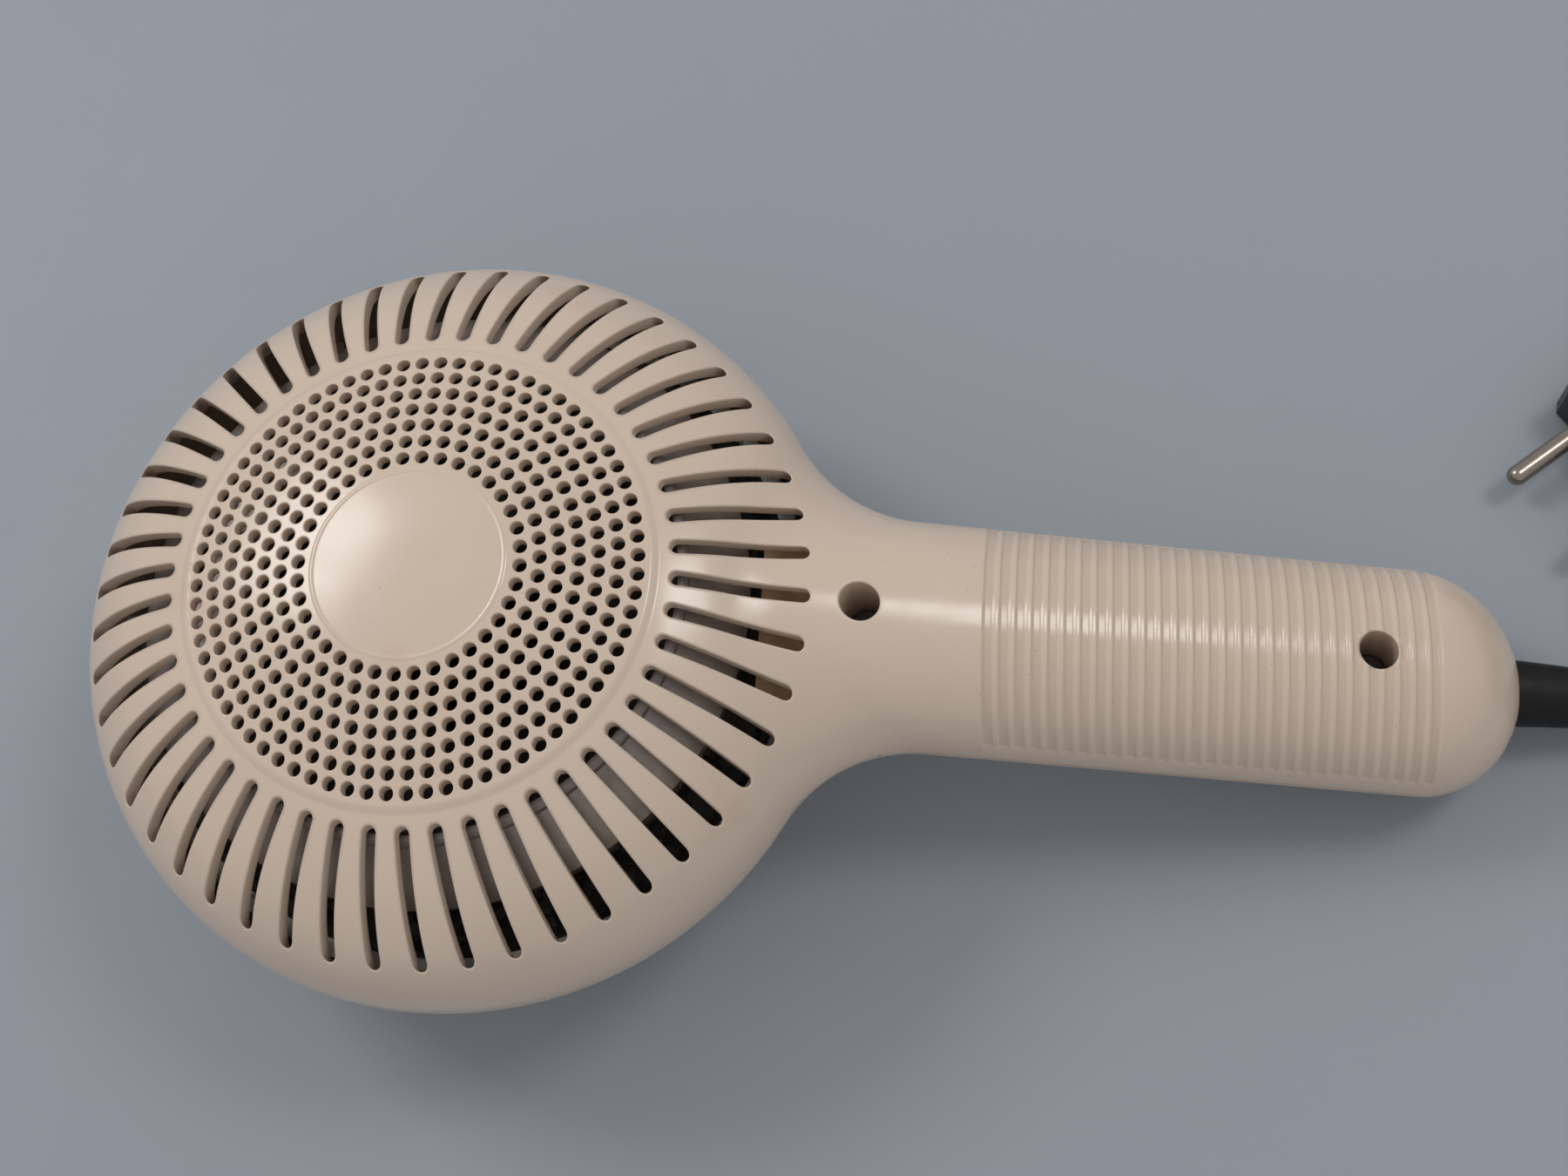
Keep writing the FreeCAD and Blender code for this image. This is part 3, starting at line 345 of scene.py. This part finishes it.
CASING = srgb(210, 193, 178)
materials = {
    # the casing carries painted shade with grime in its grip grooves, besides stains and specks
    "casing": finish("casing", CASING, 0.2, grain=2600, bump=0.08, vary=0.022, spread=0.05,
                     patch=46, extra=aged_and_groove_shaded),
    "heat_plastic": finish("heat_plastic", srgb(38, 37, 37), 0.5, bump=0.25, grain=3000),
    "galvanised_steel": finish("galvanised_steel", srgb(226, 226, 222), 0.4, 0.85, vary=0.1,
                               spread=0.1, patch=260, extra=spangled),
    "bright_steel": finish("bright_steel", srgb(188, 188, 188), 0.3, 1.0, grain=2200, bump=0.08),
    "mica": finish("mica", srgb(190, 170, 132), 0.42, vary=0.12, patch=200),
    "heating_wire": finish("heating_wire", srgb(112, 100, 94), 0.45, 1.0, grain=1400, bump=0.5,
                           depth=0.0002),
    "rubber": finish("rubber", srgb(14, 14, 16), 0.5, grain=2600, bump=0.15, specular=0.3),
    "magnet": finish("magnet", srgb(70, 70, 72), 0.6, 0.2),
    "laminations": finish("laminations", srgb(120, 120, 122), 0.45, 0.9,
                          stretch=(1, 1, 14), grain=1200, bump=0.5),
    "copper": finish("copper", srgb(178, 104, 60), 0.3, 0.9, grain=3000, bump=0.5, depth=0.0002),
    "commutator_copper": finish("commutator_copper", srgb(186, 118, 78), 0.3, 1.0),
    "bronze": finish("bronze", srgb(160, 128, 80), 0.45, 1.0),
    "carbon": finish("carbon", srgb(34, 34, 34), 0.6),
    # the fan metal carries painted shade, near black towards the head's axis
    "fan_metal": finish("fan_metal", srgb(196, 189, 185), 0.42, 0.6, vary=0.08, spread=0.1,
                        patch=120, grain=1800, bump=0.06, extra=fan_painted_shade),
    # the board's light brown, painted lighter still to stand in for light that reaches it through the slots
    "board": finish("board", srgb(240, 198, 160), 0.6, vary=0.08, patch=240,
                    stretch=(1, 5, 1), grain=900, bump=0.2),
    "black_plastic": finish("black_plastic", srgb(30, 30, 31), 0.42, bump=0.2, grain=2600),
    "contact_brass": finish("contact_brass", srgb(196, 164, 94), 0.3, 1.0),
    "film_block": finish("film_block", srgb(186, 158, 66), 0.25, coat=0.3),
    "lead_jacket": finish("lead_jacket", srgb(11, 11, 13), 0.36, grain=2400, bump=0.12,
                          vary=0.12, spread=0.1, patch=70, specular=0.25),
    "plug_plastic": finish("plug_plastic", srgb(24, 25, 27), 0.38, grain=2600, bump=0.15,
                           vary=0.08, spread=0.08, patch=80),
    "plated_pin": finish("plated_pin", srgb(156, 148, 140), 0.3, 1.0, stretch=(6, 6, 1),
                         grain=900, bump=0.03),
    "live_wire": finish("live_wire", srgb(104, 62, 40), 0.45),
    "neutral_wire": finish("neutral_wire", srgb(52, 88, 148), 0.45),
    # zinc darkened to a dark grey: painted shade for the case screws deep in their wells; the slot's other
    # screws share it
    "zinc_screw": finish("zinc_screw", srgb(84, 82, 78), 0.4, 1.0),
}
floor.data.materials.append(finish("floor_surface", srgb(149, 158, 169), 0.62, grain=600, bump=0.03,
                                   vary=0.012, spread=0.05, patch=7))

slot_of = {part["node"]: part["material_slot"] for part in frame["record"]["subparts"]}
for name, thing in frame["nodes"].items():
    thing.data.materials.clear()
    thing.data.materials.append(materials[slot_of[name]])
lead.data.materials.append(materials["lead_jacket"])

# ---------------------------------------------------------------- back shell

def head_arcs():
    """Centres (radius, height) and radii of the dome, shoulder, rim and bowl arcs, which meet tangent."""
    out, down = RIM - STEP, TOP - SEAM - CROWN * (1 - math.cos(FIRST))
    a, b = math.sin(SECOND) - math.sin(FIRST), 1 - math.sin(SECOND)
    c, d = math.cos(FIRST) - math.cos(SECOND), math.cos(SECOND)
    shoulder = (out * d - b * down) / (a * d - b * c)
    rim = (a * down - c * out) / (a * d - b * c)
    one = (0, TOP - CROWN)
    two = (one[0] + (CROWN - shoulder) * math.sin(FIRST), one[1] + (CROWN - shoulder) * math.cos(FIRST))
    three = (two[0] + (shoulder - rim) * math.sin(SECOND), two[1] + (shoulder - rim) * math.cos(SECOND))
    return ((one, CROWN), (two, shoulder), (three, rim), ((RIM - BOWL, SEAM), BOWL))


ARCS = head_arcs()


def seam_height(x):
    return SEAM - DIP * np.maximum(0, x - BEND)


def head_surface(x, y, inset):
    """Height and outward normal of the turned head; -inf outside it."""
    r = np.hypot(x, y)
    height = np.full(r.shape, -np.inf)
    lean = np.zeros(r.shape)
    limit = 0
    for ((centre, level), radius), turn in zip(ARCS[:3], (FIRST, SECOND, math.pi / 2)):
        size = radius - inset
        end = centre + size * math.sin(turn)
        here = (r >= limit) & (r <= end)
        lean[here] = np.clip((r[here] - centre) / size, 0, 1)
        height[here] = level + size * np.sqrt(1 - lean[here] ** 2)
        limit = end
    spoke = np.maximum(r, 1e-9)
    normal = np.stack([lean * x / spoke, lean * y / spoke, np.sqrt(1 - lean ** 2)], 1)
    return height, normal


def grip_surface(x, y, inset):
    """Height and outward normal of the handle and its rounded end; -inf outside it."""
    along = np.clip((x - (END - CAP)) / (CAP - inset), 0, 1)
    side, rise = HALF - inset, RISE - inset
    shrink = 1 - along ** 2
    room = shrink - (y / side) ** 2
    inside = (room > 0) & (x > 30)
    up = np.sqrt(np.maximum(room, 1e-9))
    height = np.where(inside, SEAM - DIP * (x - BEND) + rise * up, -np.inf)
    slope_x = -DIP - rise * along / (CAP - inset) / up
    slope_y = -rise * y / side ** 2 / up
    normal = np.stack([-slope_x, -slope_y, np.ones_like(x)], 1)
    return height, normal / np.linalg.norm(normal, axis=1)[:, None]


def head_gap(points):
    """Distance from points outside the head to it, and the direction away from it."""
    r = np.hypot(points[:, 0], points[:, 1])
    z = points[:, 2]
    gap, lean_r, lean_z = (np.zeros(len(r)) for _ in range(3))
    turns = (0, FIRST, SECOND, math.pi / 2, math.pi)
    for ((centre, level), radius), low, high in zip(ARCS, turns, turns[1:]):
        away = np.hypot(r - centre, z - level)
        angle = np.arctan2(r - centre, z - level)
        here = (angle >= low) & (angle < high)
        gap[here] = away[here] - radius
        lean_r[here] = ((r - centre) / away)[here]
        lean_z[here] = ((z - level) / away)[here]
    return gap, np.stack([lean_r * points[:, 0] / r, lean_r * points[:, 1] / r, lean_z], 1)


def fillet_spine(count=1000):
    """Centres of the ball that rolls between head and handle, with both contact directions."""
    turn = np.linspace(math.radians(-14), math.radians(194), count)
    low, high = np.full(count, 60.0), np.full(count, 150.0)

    def ball(x):
        normal = np.stack([np.sin(turn) / RISE * DIP, np.cos(turn) / HALF, np.sin(turn) / RISE], 1)
        normal /= np.linalg.norm(normal, axis=1)[:, None]
        foot = np.stack([x, HALF * np.cos(turn), SEAM - DIP * (x - BEND) + RISE * np.sin(turn)], 1)
        return foot + FILLET * normal, normal
    for _ in range(50):
        middle = (low + high) / 2
        near = head_gap(ball(middle)[0])[0] < FILLET
        low, high = np.where(near, middle, low), np.where(near, high, middle)
    centres, from_grip = ball((low + high) / 2)
    return centres, head_gap(centres)[1], from_grip


SPINE, FROM_HEAD, FROM_GRIP = fillet_spine()
LEVEL = int(np.abs(SPINE[:, 2] - SEAM + DIP * np.maximum(0, SPINE[:, 0] - BEND))[:500].argmin())
BALLS = SPINE[LEVEL:-LEVEL]


def inside_outline(points, outline):
    """Which points lie inside the outline."""
    inside = np.zeros(len(points), bool)
    x, y = points[:, 0], points[:, 1]
    for (ax, ay), (bx, by) in zip(outline, np.roll(outline, -1, 0)):
        if ay != by:
            crossing = ((ay > y) != (by > y)) & (x < (bx - ax) * (y - ay) / (by - ay) + ax)
            inside ^= crossing
    return inside


def casing(xy, inset=0.0):
    """Height and outward normal of the filleted casing over plan points counted from the head axis."""
    x, y = xy[:, 0], xy[:, 1]
    head, head_normal = head_surface(x, y, inset)
    grip, grip_normal = grip_surface(x, y, inset)
    height = np.maximum(head, grip)
    normal = np.where((head >= grip)[:, None], head_normal, grip_normal)
    size = FILLET + inset
    on_head = (SPINE - size * FROM_HEAD)[LEVEL:-LEVEL, :2]
    on_grip = (SPINE - size * FROM_GRIP)[LEVEL:-LEVEL, :2]
    zone = np.where((x > 40) & (x < 125))[0]
    zone = zone[inside_outline(xy[zone], np.concatenate([on_head[::4], on_grip[::-4]]))]
    for start in range(0, len(zone), 1500):
        rows = zone[start:start + 1500]
        plan = np.hypot(x[rows, None] - BALLS[:, 0], y[rows, None] - BALLS[:, 1])
        under = np.where(plan < size, BALLS[:, 2] - np.sqrt(np.maximum(size ** 2 - plan ** 2, 0)), 1e3)
        best = np.clip(under.argmin(1), 1, len(BALLS) - 2)
        here = np.arange(len(rows))
        before, level, after = under[here, best - 1], under[here, best], under[here, best + 1]
        bend = before - 2 * level + after
        smooth_here = (bend > 1e-9) & (before < 500) & (after < 500)
        along = np.where(smooth_here, (before - after) / np.where(smooth_here, 2 * bend, 1), 0)
        along = np.clip(along, -0.5, 0.5)
        level = level - 0.25 * (before - after) * along * smooth_here
        centre = BALLS[best] + along[:, None] * (BALLS[best + 1] - BALLS[best - 1]) / 2
        found = (level < 500) & (level > height[rows] - 0.05)
        rows, centre, level = rows[found], centre[found], level[found]
        height[rows] = level
        away = centre - np.stack([x[rows], y[rows], level], 1)
        normal[rows] = away / np.linalg.norm(away, axis=1)[:, None]
    return height, normal


def smooth(value):
    value = np.clip(value, 0, 1)
    return value * value * (3 - 2 * value)


GROOVES = GROOVE_FIRST + GROOVE_PITCH * np.arange(GROOVE_COUNT)
GROOVE_DEPTH = 0.38
GROOVE_FLAT, GROOVE_SLOPE = 0.46, 0.74  # half the floor's width, and the width of one side
BADGE_RAISE, BADGE_HALF = 0.14, 0.55  # height of the ring round the disc, and half its width
STEP_DROP, STEP_START, STEP_RUN = 0.4, 41.2, 1.5  # depth, inner radius and width of the step
BEAD_RAISE, BEAD_RADIUS, BEAD_HALF = 0.1, 40.95, 0.35  # the fine bead along the step


def moulding(xy):
    """Fine relief along the surface normal: badge rim, step and bead round the dome, grip grooves."""
    x, y = xy[:, 0], xy[:, 1]
    r = np.hypot(x, y)
    relief = BADGE_RAISE * smooth(1 - np.abs(r - BADGE) / BADGE_HALF)
    relief -= STEP_DROP * smooth((r - STEP_START) / STEP_RUN) * (1 - smooth((r - 47) / 14))
    relief += BEAD_RAISE * smooth(1 - np.abs(r - BEAD_RADIUS) / BEAD_HALF)
    nearest = np.abs(x[:, None] - GROOVES).min(1)
    across = 1 - smooth((nearest - GROOVE_FLAT) / GROOVE_SLOPE)
    ends = 1 - smooth((np.abs(y) - GROOVE_END) / 0.22)
    return relief - GROOVE_DEPTH * across * ends


def surface(xy):
    """Points on the finished outer surface and the base normal there."""
    height, normal = casing(xy)
    base = np.column_stack([xy, height])
    return base + normal * moulding(xy)[:, None], normal


def plan_outline():
    """The casing's outline from above, anticlockwise, and the unit vectors into it."""
    cx, cy = SPINE[LEVEL, 0], SPINE[LEVEL, 1]
    points, inward = [], []

    def add(px, py, nx, ny):
        points.append((px, py))
        inward.append((nx, ny))
    reach = math.atan2(cy, cx)
    for x in np.arange(cx, END - CAP, 1.4):
        add(x, -HALF, 0, 1)
    for angle in np.radians(np.arange(-90, 90.1, 4)):
        nx, ny = math.cos(angle) / CAP, math.sin(angle) / HALF
        length = math.hypot(nx, ny)
        add(END - CAP + CAP * math.cos(angle), HALF * math.sin(angle), -nx / length, -ny / length)
    for x in np.arange(END - CAP - 1.4, cx + 0.7, -1.4):
        add(x, HALF, 0, -1)
    for angle in np.arange(-math.pi / 2, -math.pi + reach, -0.045):
        add(cx + FILLET * math.cos(angle), cy + FILLET * math.sin(angle), math.cos(angle), math.sin(angle))
    for angle in np.arange(reach, 2 * math.pi - reach, 0.021):
        add(RIM * math.cos(angle), RIM * math.sin(angle), -math.cos(angle), -math.sin(angle))
    for angle in np.arange(math.pi - reach, math.pi / 2, -0.045):
        add(cx + FILLET * math.cos(angle), -cy + FILLET * math.sin(angle), math.cos(angle), math.sin(angle))
    return np.array(points), np.array(inward)


def circle(centre, radius, count):
    turn = 2 * np.pi * np.arange(count) / count
    return np.stack([centre[0] + radius * np.cos(turn), centre[1] + radius * np.sin(turn)], 1)


def slot(angle, inner, outer, half):
    """A slot's outline, anticlockwise, turned round the head axis."""
    run = np.linspace(inner + half, outer - half, 15)
    turn = np.linspace(-np.pi / 2, np.pi / 2, 9)[1:-1]
    points = [(x, -half) for x in run]
    points += [(outer - half + half * math.cos(t), half * math.sin(t)) for t in turn]
    points += [(x, half) for x in run[::-1]]
    points += [(inner + half - half * math.cos(t), half * math.sin(t)) for t in turn[::-1]]
    points = np.array(points)
    c, s = math.cos(angle), math.sin(angle)
    return points @ np.array([[c, s], [-s, c]])


def openings():
    """Every opening as (its outline as a function of growth, lip radius, floor height of a well)."""
    made = []
    for ring in HOLE_RINGS:
        for index in range(6 * ring):
            angle = math.radians(30) + 2 * math.pi * index / (6 * ring)
            centre = HOLE_PITCH * ring * np.array([math.cos(angle), math.sin(angle)])
            made.append((lambda grow, c=centre: circle(c, HOLE_BORE + grow, 16), HOLE_LIP, None))
    for index in range(SLOTS):
        angle = 2 * math.pi * index / SLOTS
        outer = SLOT_OUTER + NECK_EXTRA * math.exp(-(math.remainder(angle, 2 * math.pi) / NECK_SPREAD) ** 2)
        made.append((lambda grow, a=angle, o=outer: slot(a, SLOT_INNER - grow, o + grow, SLOT_HALF + grow),
                     SLOT_LIP, None))
    for x, floor_height in WELLS:
        made.append((lambda grow, c=(x, 0): circle(c, WELL_BORE + grow, 40), WELL_LIP, floor_height))
    return made


def fill_points(outline, inward):
    """Plan points that the surface needs between its openings."""
    wanted = [circle((0, 0), r, max(6, int(2 * math.pi * r / 2.0))) for r in range(2, 16, 2)]
    wanted += [circle((0, 0), r, 150) for r in (16.35, 16.6, 16.9, 17.2, 17.45)]
    wanted += [circle((0, 0), r, 260) for r in (40.62, 40.95, 41.25, 41.6, 41.95, 42.3, 42.7, 43.2)]
    mid_turn = (np.arange(SLOTS) + 0.5) * 2 * np.pi / SLOTS
    for r in np.arange(44.5, 66, 1.8):
        wanted.append(np.stack([r * np.cos(mid_turn), r * np.sin(mid_turn)], 1))
    free = (outline[:, 0] < GROOVES[0] - 2) | (outline[:, 0] > GROOVES[-1] + 2.2)
    for lean in np.radians(np.arange(5, 66, 5)):
        wanted.append((outline + inward * (18.5 * (1 - math.cos(lean))))[free])
    side = HALF * np.sin(np.radians(np.arange(0, 73, 4)))
    side = np.concatenate([side, (20.29, 20.36, 20.44, 20.53), HALF * np.sin(np.radians((78, 80.5, 83)))])
    across = np.concatenate([-side[:0:-1], side])
    for groove in GROOVES:
        for shift in (-1.2, -1.02, -0.83, -0.64, -0.46, 0, 0.46, 0.64, 0.83, 1.02, 1.2, 1.395):
            wanted.append(np.stack([np.full(len(across), groove + shift), across], 1))
    grid = np.stack(np.meshgrid(np.arange(58, END, 1.7), np.arange(-36, 37, 1.7)), -1).reshape(-1, 2)
    grid = grid[(grid[:, 0] < GROOVES[0] - 2) | (grid[:, 0] > GROOVES[-1] + 2.2)]
    wanted.append(grid)
    return np.concatenate(wanted)


def tree_of(points):
    """A search tree over plan points."""
    tree = kdtree.KDTree(len(points))
    for index, point in enumerate(points):
        tree.insert((*point, 0), index)
    tree.balance()
    return tree


def thinned(extra, fixed):
    """The extra points that keep clear of the openings, of the fixed points and of each other."""
    slots_start, slots_end, slot_room = 43.6, 68.3, 1.95  # the slots with their lips
    field_start, field_end = 17.6, 40.55  # the field of round holes
    well_room = 4.3
    spokes = np.hypot(extra[:, 0], extra[:, 1])
    angles = np.arctan2(extra[:, 1], extra[:, 0])
    half_turn = np.pi / SLOTS
    off_slot = np.abs(np.remainder(angles + half_turn, 2 * half_turn) - half_turn) * spokes
    keep = ~((spokes > slots_start) & (spokes < slots_end) & (off_slot < slot_room))
    for x, _ in WELLS:
        keep &= np.hypot(extra[:, 0] - x, extra[:, 1]) > well_room
    keep &= ~((spokes > field_start) & (spokes < field_end))
    near_fixed = tree_of(fixed)
    keep &= np.array([near_fixed.find((*point, 0))[2] > 0.1 for point in extra])
    extra = extra[keep]
    near_extra = tree_of(extra)
    chosen, taken = [], set()
    for index, point in enumerate(extra):
        if index not in taken:
            chosen.append(index)
            taken.update(other for _, other, _ in near_extra.find_range((*point, 0), 0.13))
    return extra[chosen]


def plan_triangles(plan, label, rings, outline):
    """Triangles of the plan between the rings: none inside an opening, none outside the outline."""
    edges, start = [], 0
    for ring in rings:
        count = len(ring)
        edges += [(start + i, start + (i + 1) % count) for i in range(count)]
        start += count
    found = geometry.delaunay_2d_cdt([Vector(p) for p in plan], edges, [], 0, 1e-5)
    back = np.array([origins[0] if origins else -1 for origins in found[3]])
    triangles = back[np.array(found[2])]
    triangles = triangles[(triangles >= 0).all(1)]
    tags = label[triangles]
    same = (tags[:, 0] == tags[:, 1]) & (tags[:, 1] == tags[:, 2])
    keep = ~(same & (tags[:, 0] > 0))
    on_edge = same & (tags[:, 0] == 0)
    keep[on_edge] = inside_outline(plan[triangles[on_edge]].mean(1), outline)
    return triangles[keep]


def outer_skin(plan, outline, inward, margin):
    """Places and normals of the outside; the outermost ring stops just over the seam."""
    outer, normal = surface(plan)
    rim = slice(0, len(outline))
    outer[rim, 2] = np.maximum(np.nan_to_num(outer[rim, 2], neginf=0), seam_height(outline[:, 0]) + 0.35)
    outer[rim, :2] = outline
    normal[rim] = np.column_stack([-inward, np.zeros(len(outline))])
    step = 0.02
    rows = np.where(margin > 0.6)[0]
    shifts = [surface(plan[rows] + shift)[0] for shift in
              (np.array([step, 0]), np.array([-step, 0]), np.array([0, step]), np.array([0, -step]))]
    cross = np.cross(shifts[0] - shifts[1], shifts[2] - shifts[3])
    normal[rows] = cross / np.linalg.norm(cross, axis=1)[:, None]
    return outer, normal


def inner_skin(plan, outline, inward, margin, nearest, holes, loops):
    """Places and normals of the inside, moved inwards near the rim to leave the wall's thickness."""
    squeeze = np.clip(1 - margin / 3.2, 0, 1) * (WALL + 0.03)
    inner_plan = plan + inward[nearest] * squeeze[:, None]
    start = len(outline)
    for (make, lip, well), loop in zip(holes, loops):
        inner_plan[start:start + len(loop)] = make(0.9 if well else 0)
        start += len(loop)
    height, normal = casing(inner_plan, WALL)
    height = np.where(np.isfinite(height), height, seam_height(inner_plan[:, 0]))
    rim = slice(0, len(outline))
    height[rim] = seam_height(inner_plan[rim, 0])
    return np.column_stack([inner_plan, height]), normal


def band(one, two):
    """Quads between two loops of vertex numbers."""
    count = len(one)
    return [(one[i], two[i], two[(i + 1) % count], one[(i + 1) % count]) for i in range(count)]


def well_path(floor, wall_normal, flat):
    """Radius, height and normals down a screw well, over its floor and through the screw's hole."""
    shelf = floor + WELL_FLOOR
    return ((WELL_BORE, shelf, wall_normal), (WELL_BORE, shelf, flat), (SCREW_BORE, shelf, flat),
            (SCREW_BORE, shelf, wall_normal), (SCREW_BORE, floor, wall_normal),
            (WELL_OUTSIDE, floor, -flat), (WELL_OUTSIDE, floor, -wall_normal))


def shell_mesh():
    """The back shell: outer surface with rounded lips, walls of the openings, and inner surface."""
    outline, inward = plan_outline()
    holes = openings()
    loops = [make(lip) for make, lip, _ in holes]
    fixed = np.concatenate([outline] + loops)
    extra = fill_points(outline, inward)
    extra = thinned(extra[inside_outline(extra, outline)], fixed)
    plan = np.concatenate([fixed, extra])
    label = np.concatenate([np.zeros(len(outline), int)] +
                           [np.full(len(loop), index + 1) for index, loop in enumerate(loops)] +
                           [np.full(len(extra), -1)])
    triangles = plan_triangles(plan, label, [outline] + loops, outline)
    rim_tree = tree_of(outline)
    near = [rim_tree.find((*point, 0)) for point in plan]
    margin = np.array([found[2] for found in near])
    outer, normal = outer_skin(plan, outline, inward, margin)
    inner, inner_normal = inner_skin(plan, outline, inward, margin, [found[1] for found in near],
                                     holes, loops)

    points, normals = [outer, inner], [normal, -inner_normal]
    faces = [tuple(t) for t in triangles]
    faces += [tuple(len(plan) + t[::-1]) for t in triangles]
    total = 2 * len(plan)

    def loop_of(where, which):
        nonlocal total
        points.append(where)
        normals.append(which)
        total += len(where)
        return np.arange(total - len(where), total)

    start = len(outline)
    for (make, lip, well), loop in zip(holes, loops):
        count = len(loop)
        rows = slice(start, start + count)
        last = np.arange(start, start + count)
        wall = make(0)
        outward = loop - wall
        outward /= np.linalg.norm(outward, axis=1)[:, None]
        wall_normal = np.column_stack([-outward, np.zeros(count)])
        wall_level = casing(wall)[0]
        for turn in (0.33, 0.66, 1.0):
            lean = turn * math.pi / 2
            share = 1 - math.sin(lean)
            base = wall_level * (1 - share) + outer[rows, 2] * share
            place = np.column_stack([wall + outward * lip * share, base - lip * (1 - math.cos(lean))])
            face = normal[rows] * math.cos(lean) + wall_normal * math.sin(lean)
            face /= np.linalg.norm(face, axis=1)[:, None]
            now = loop_of(place, face)
            faces += band(now, last)
            last = now
        if well:
            for radius, level, face in well_path(well, wall_normal, np.tile((0, 0, 1.0), (count, 1))):
                ring = wall.mean(0) - wall_normal[:, :2] * radius
                now = loop_of(np.column_stack([ring, np.full(count, level)]), face)
                faces += band(now, last)
                last = now
        faces += band(loop_of(inner[rows], -wall_normal if well else wall_normal), last)
        start += count

    count = len(outline)
    rim = slice(0, count)
    lower = np.column_stack([outline + inward * 0.25, seam_height(outline[:, 0])])
    slope = np.column_stack([-inward * 0.8, np.full(count, -0.6)])
    faces += band(loop_of(outer[rim], slope), loop_of(lower, slope))
    flat = np.tile((0, 0, -1.0), (count, 1))
    faces += band(loop_of(lower, flat), loop_of(inner[rim], flat))
    where = (np.concatenate(points) + np.array(HEAD)) * MM
    return where, np.concatenate(normals), faces


def mesh_object(name, where, normals, faces, slot_name, body):
    """A mesh piece, smooth-shaded with the normals given."""
    data = bpy.data.meshes.new(name)
    data.from_pydata([tuple(p) for p in where], [], [tuple(int(i) for i in f) for f in faces])
    data.validate()
    data.polygons.foreach_set("use_smooth", [True] * len(data.polygons))
    data.normals_split_custom_set_from_vertices([tuple(n) for n in normals])
    data.update()
    thing = bpy.data.objects.new(name, data)
    scene.collection.objects.link(thing)
    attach(thing, body)
    data.materials.append(materials[slot_name])
    return thing


shell = mesh_object("back_cover", *shell_mesh(), "casing", "dryer")
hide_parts("back_shell")
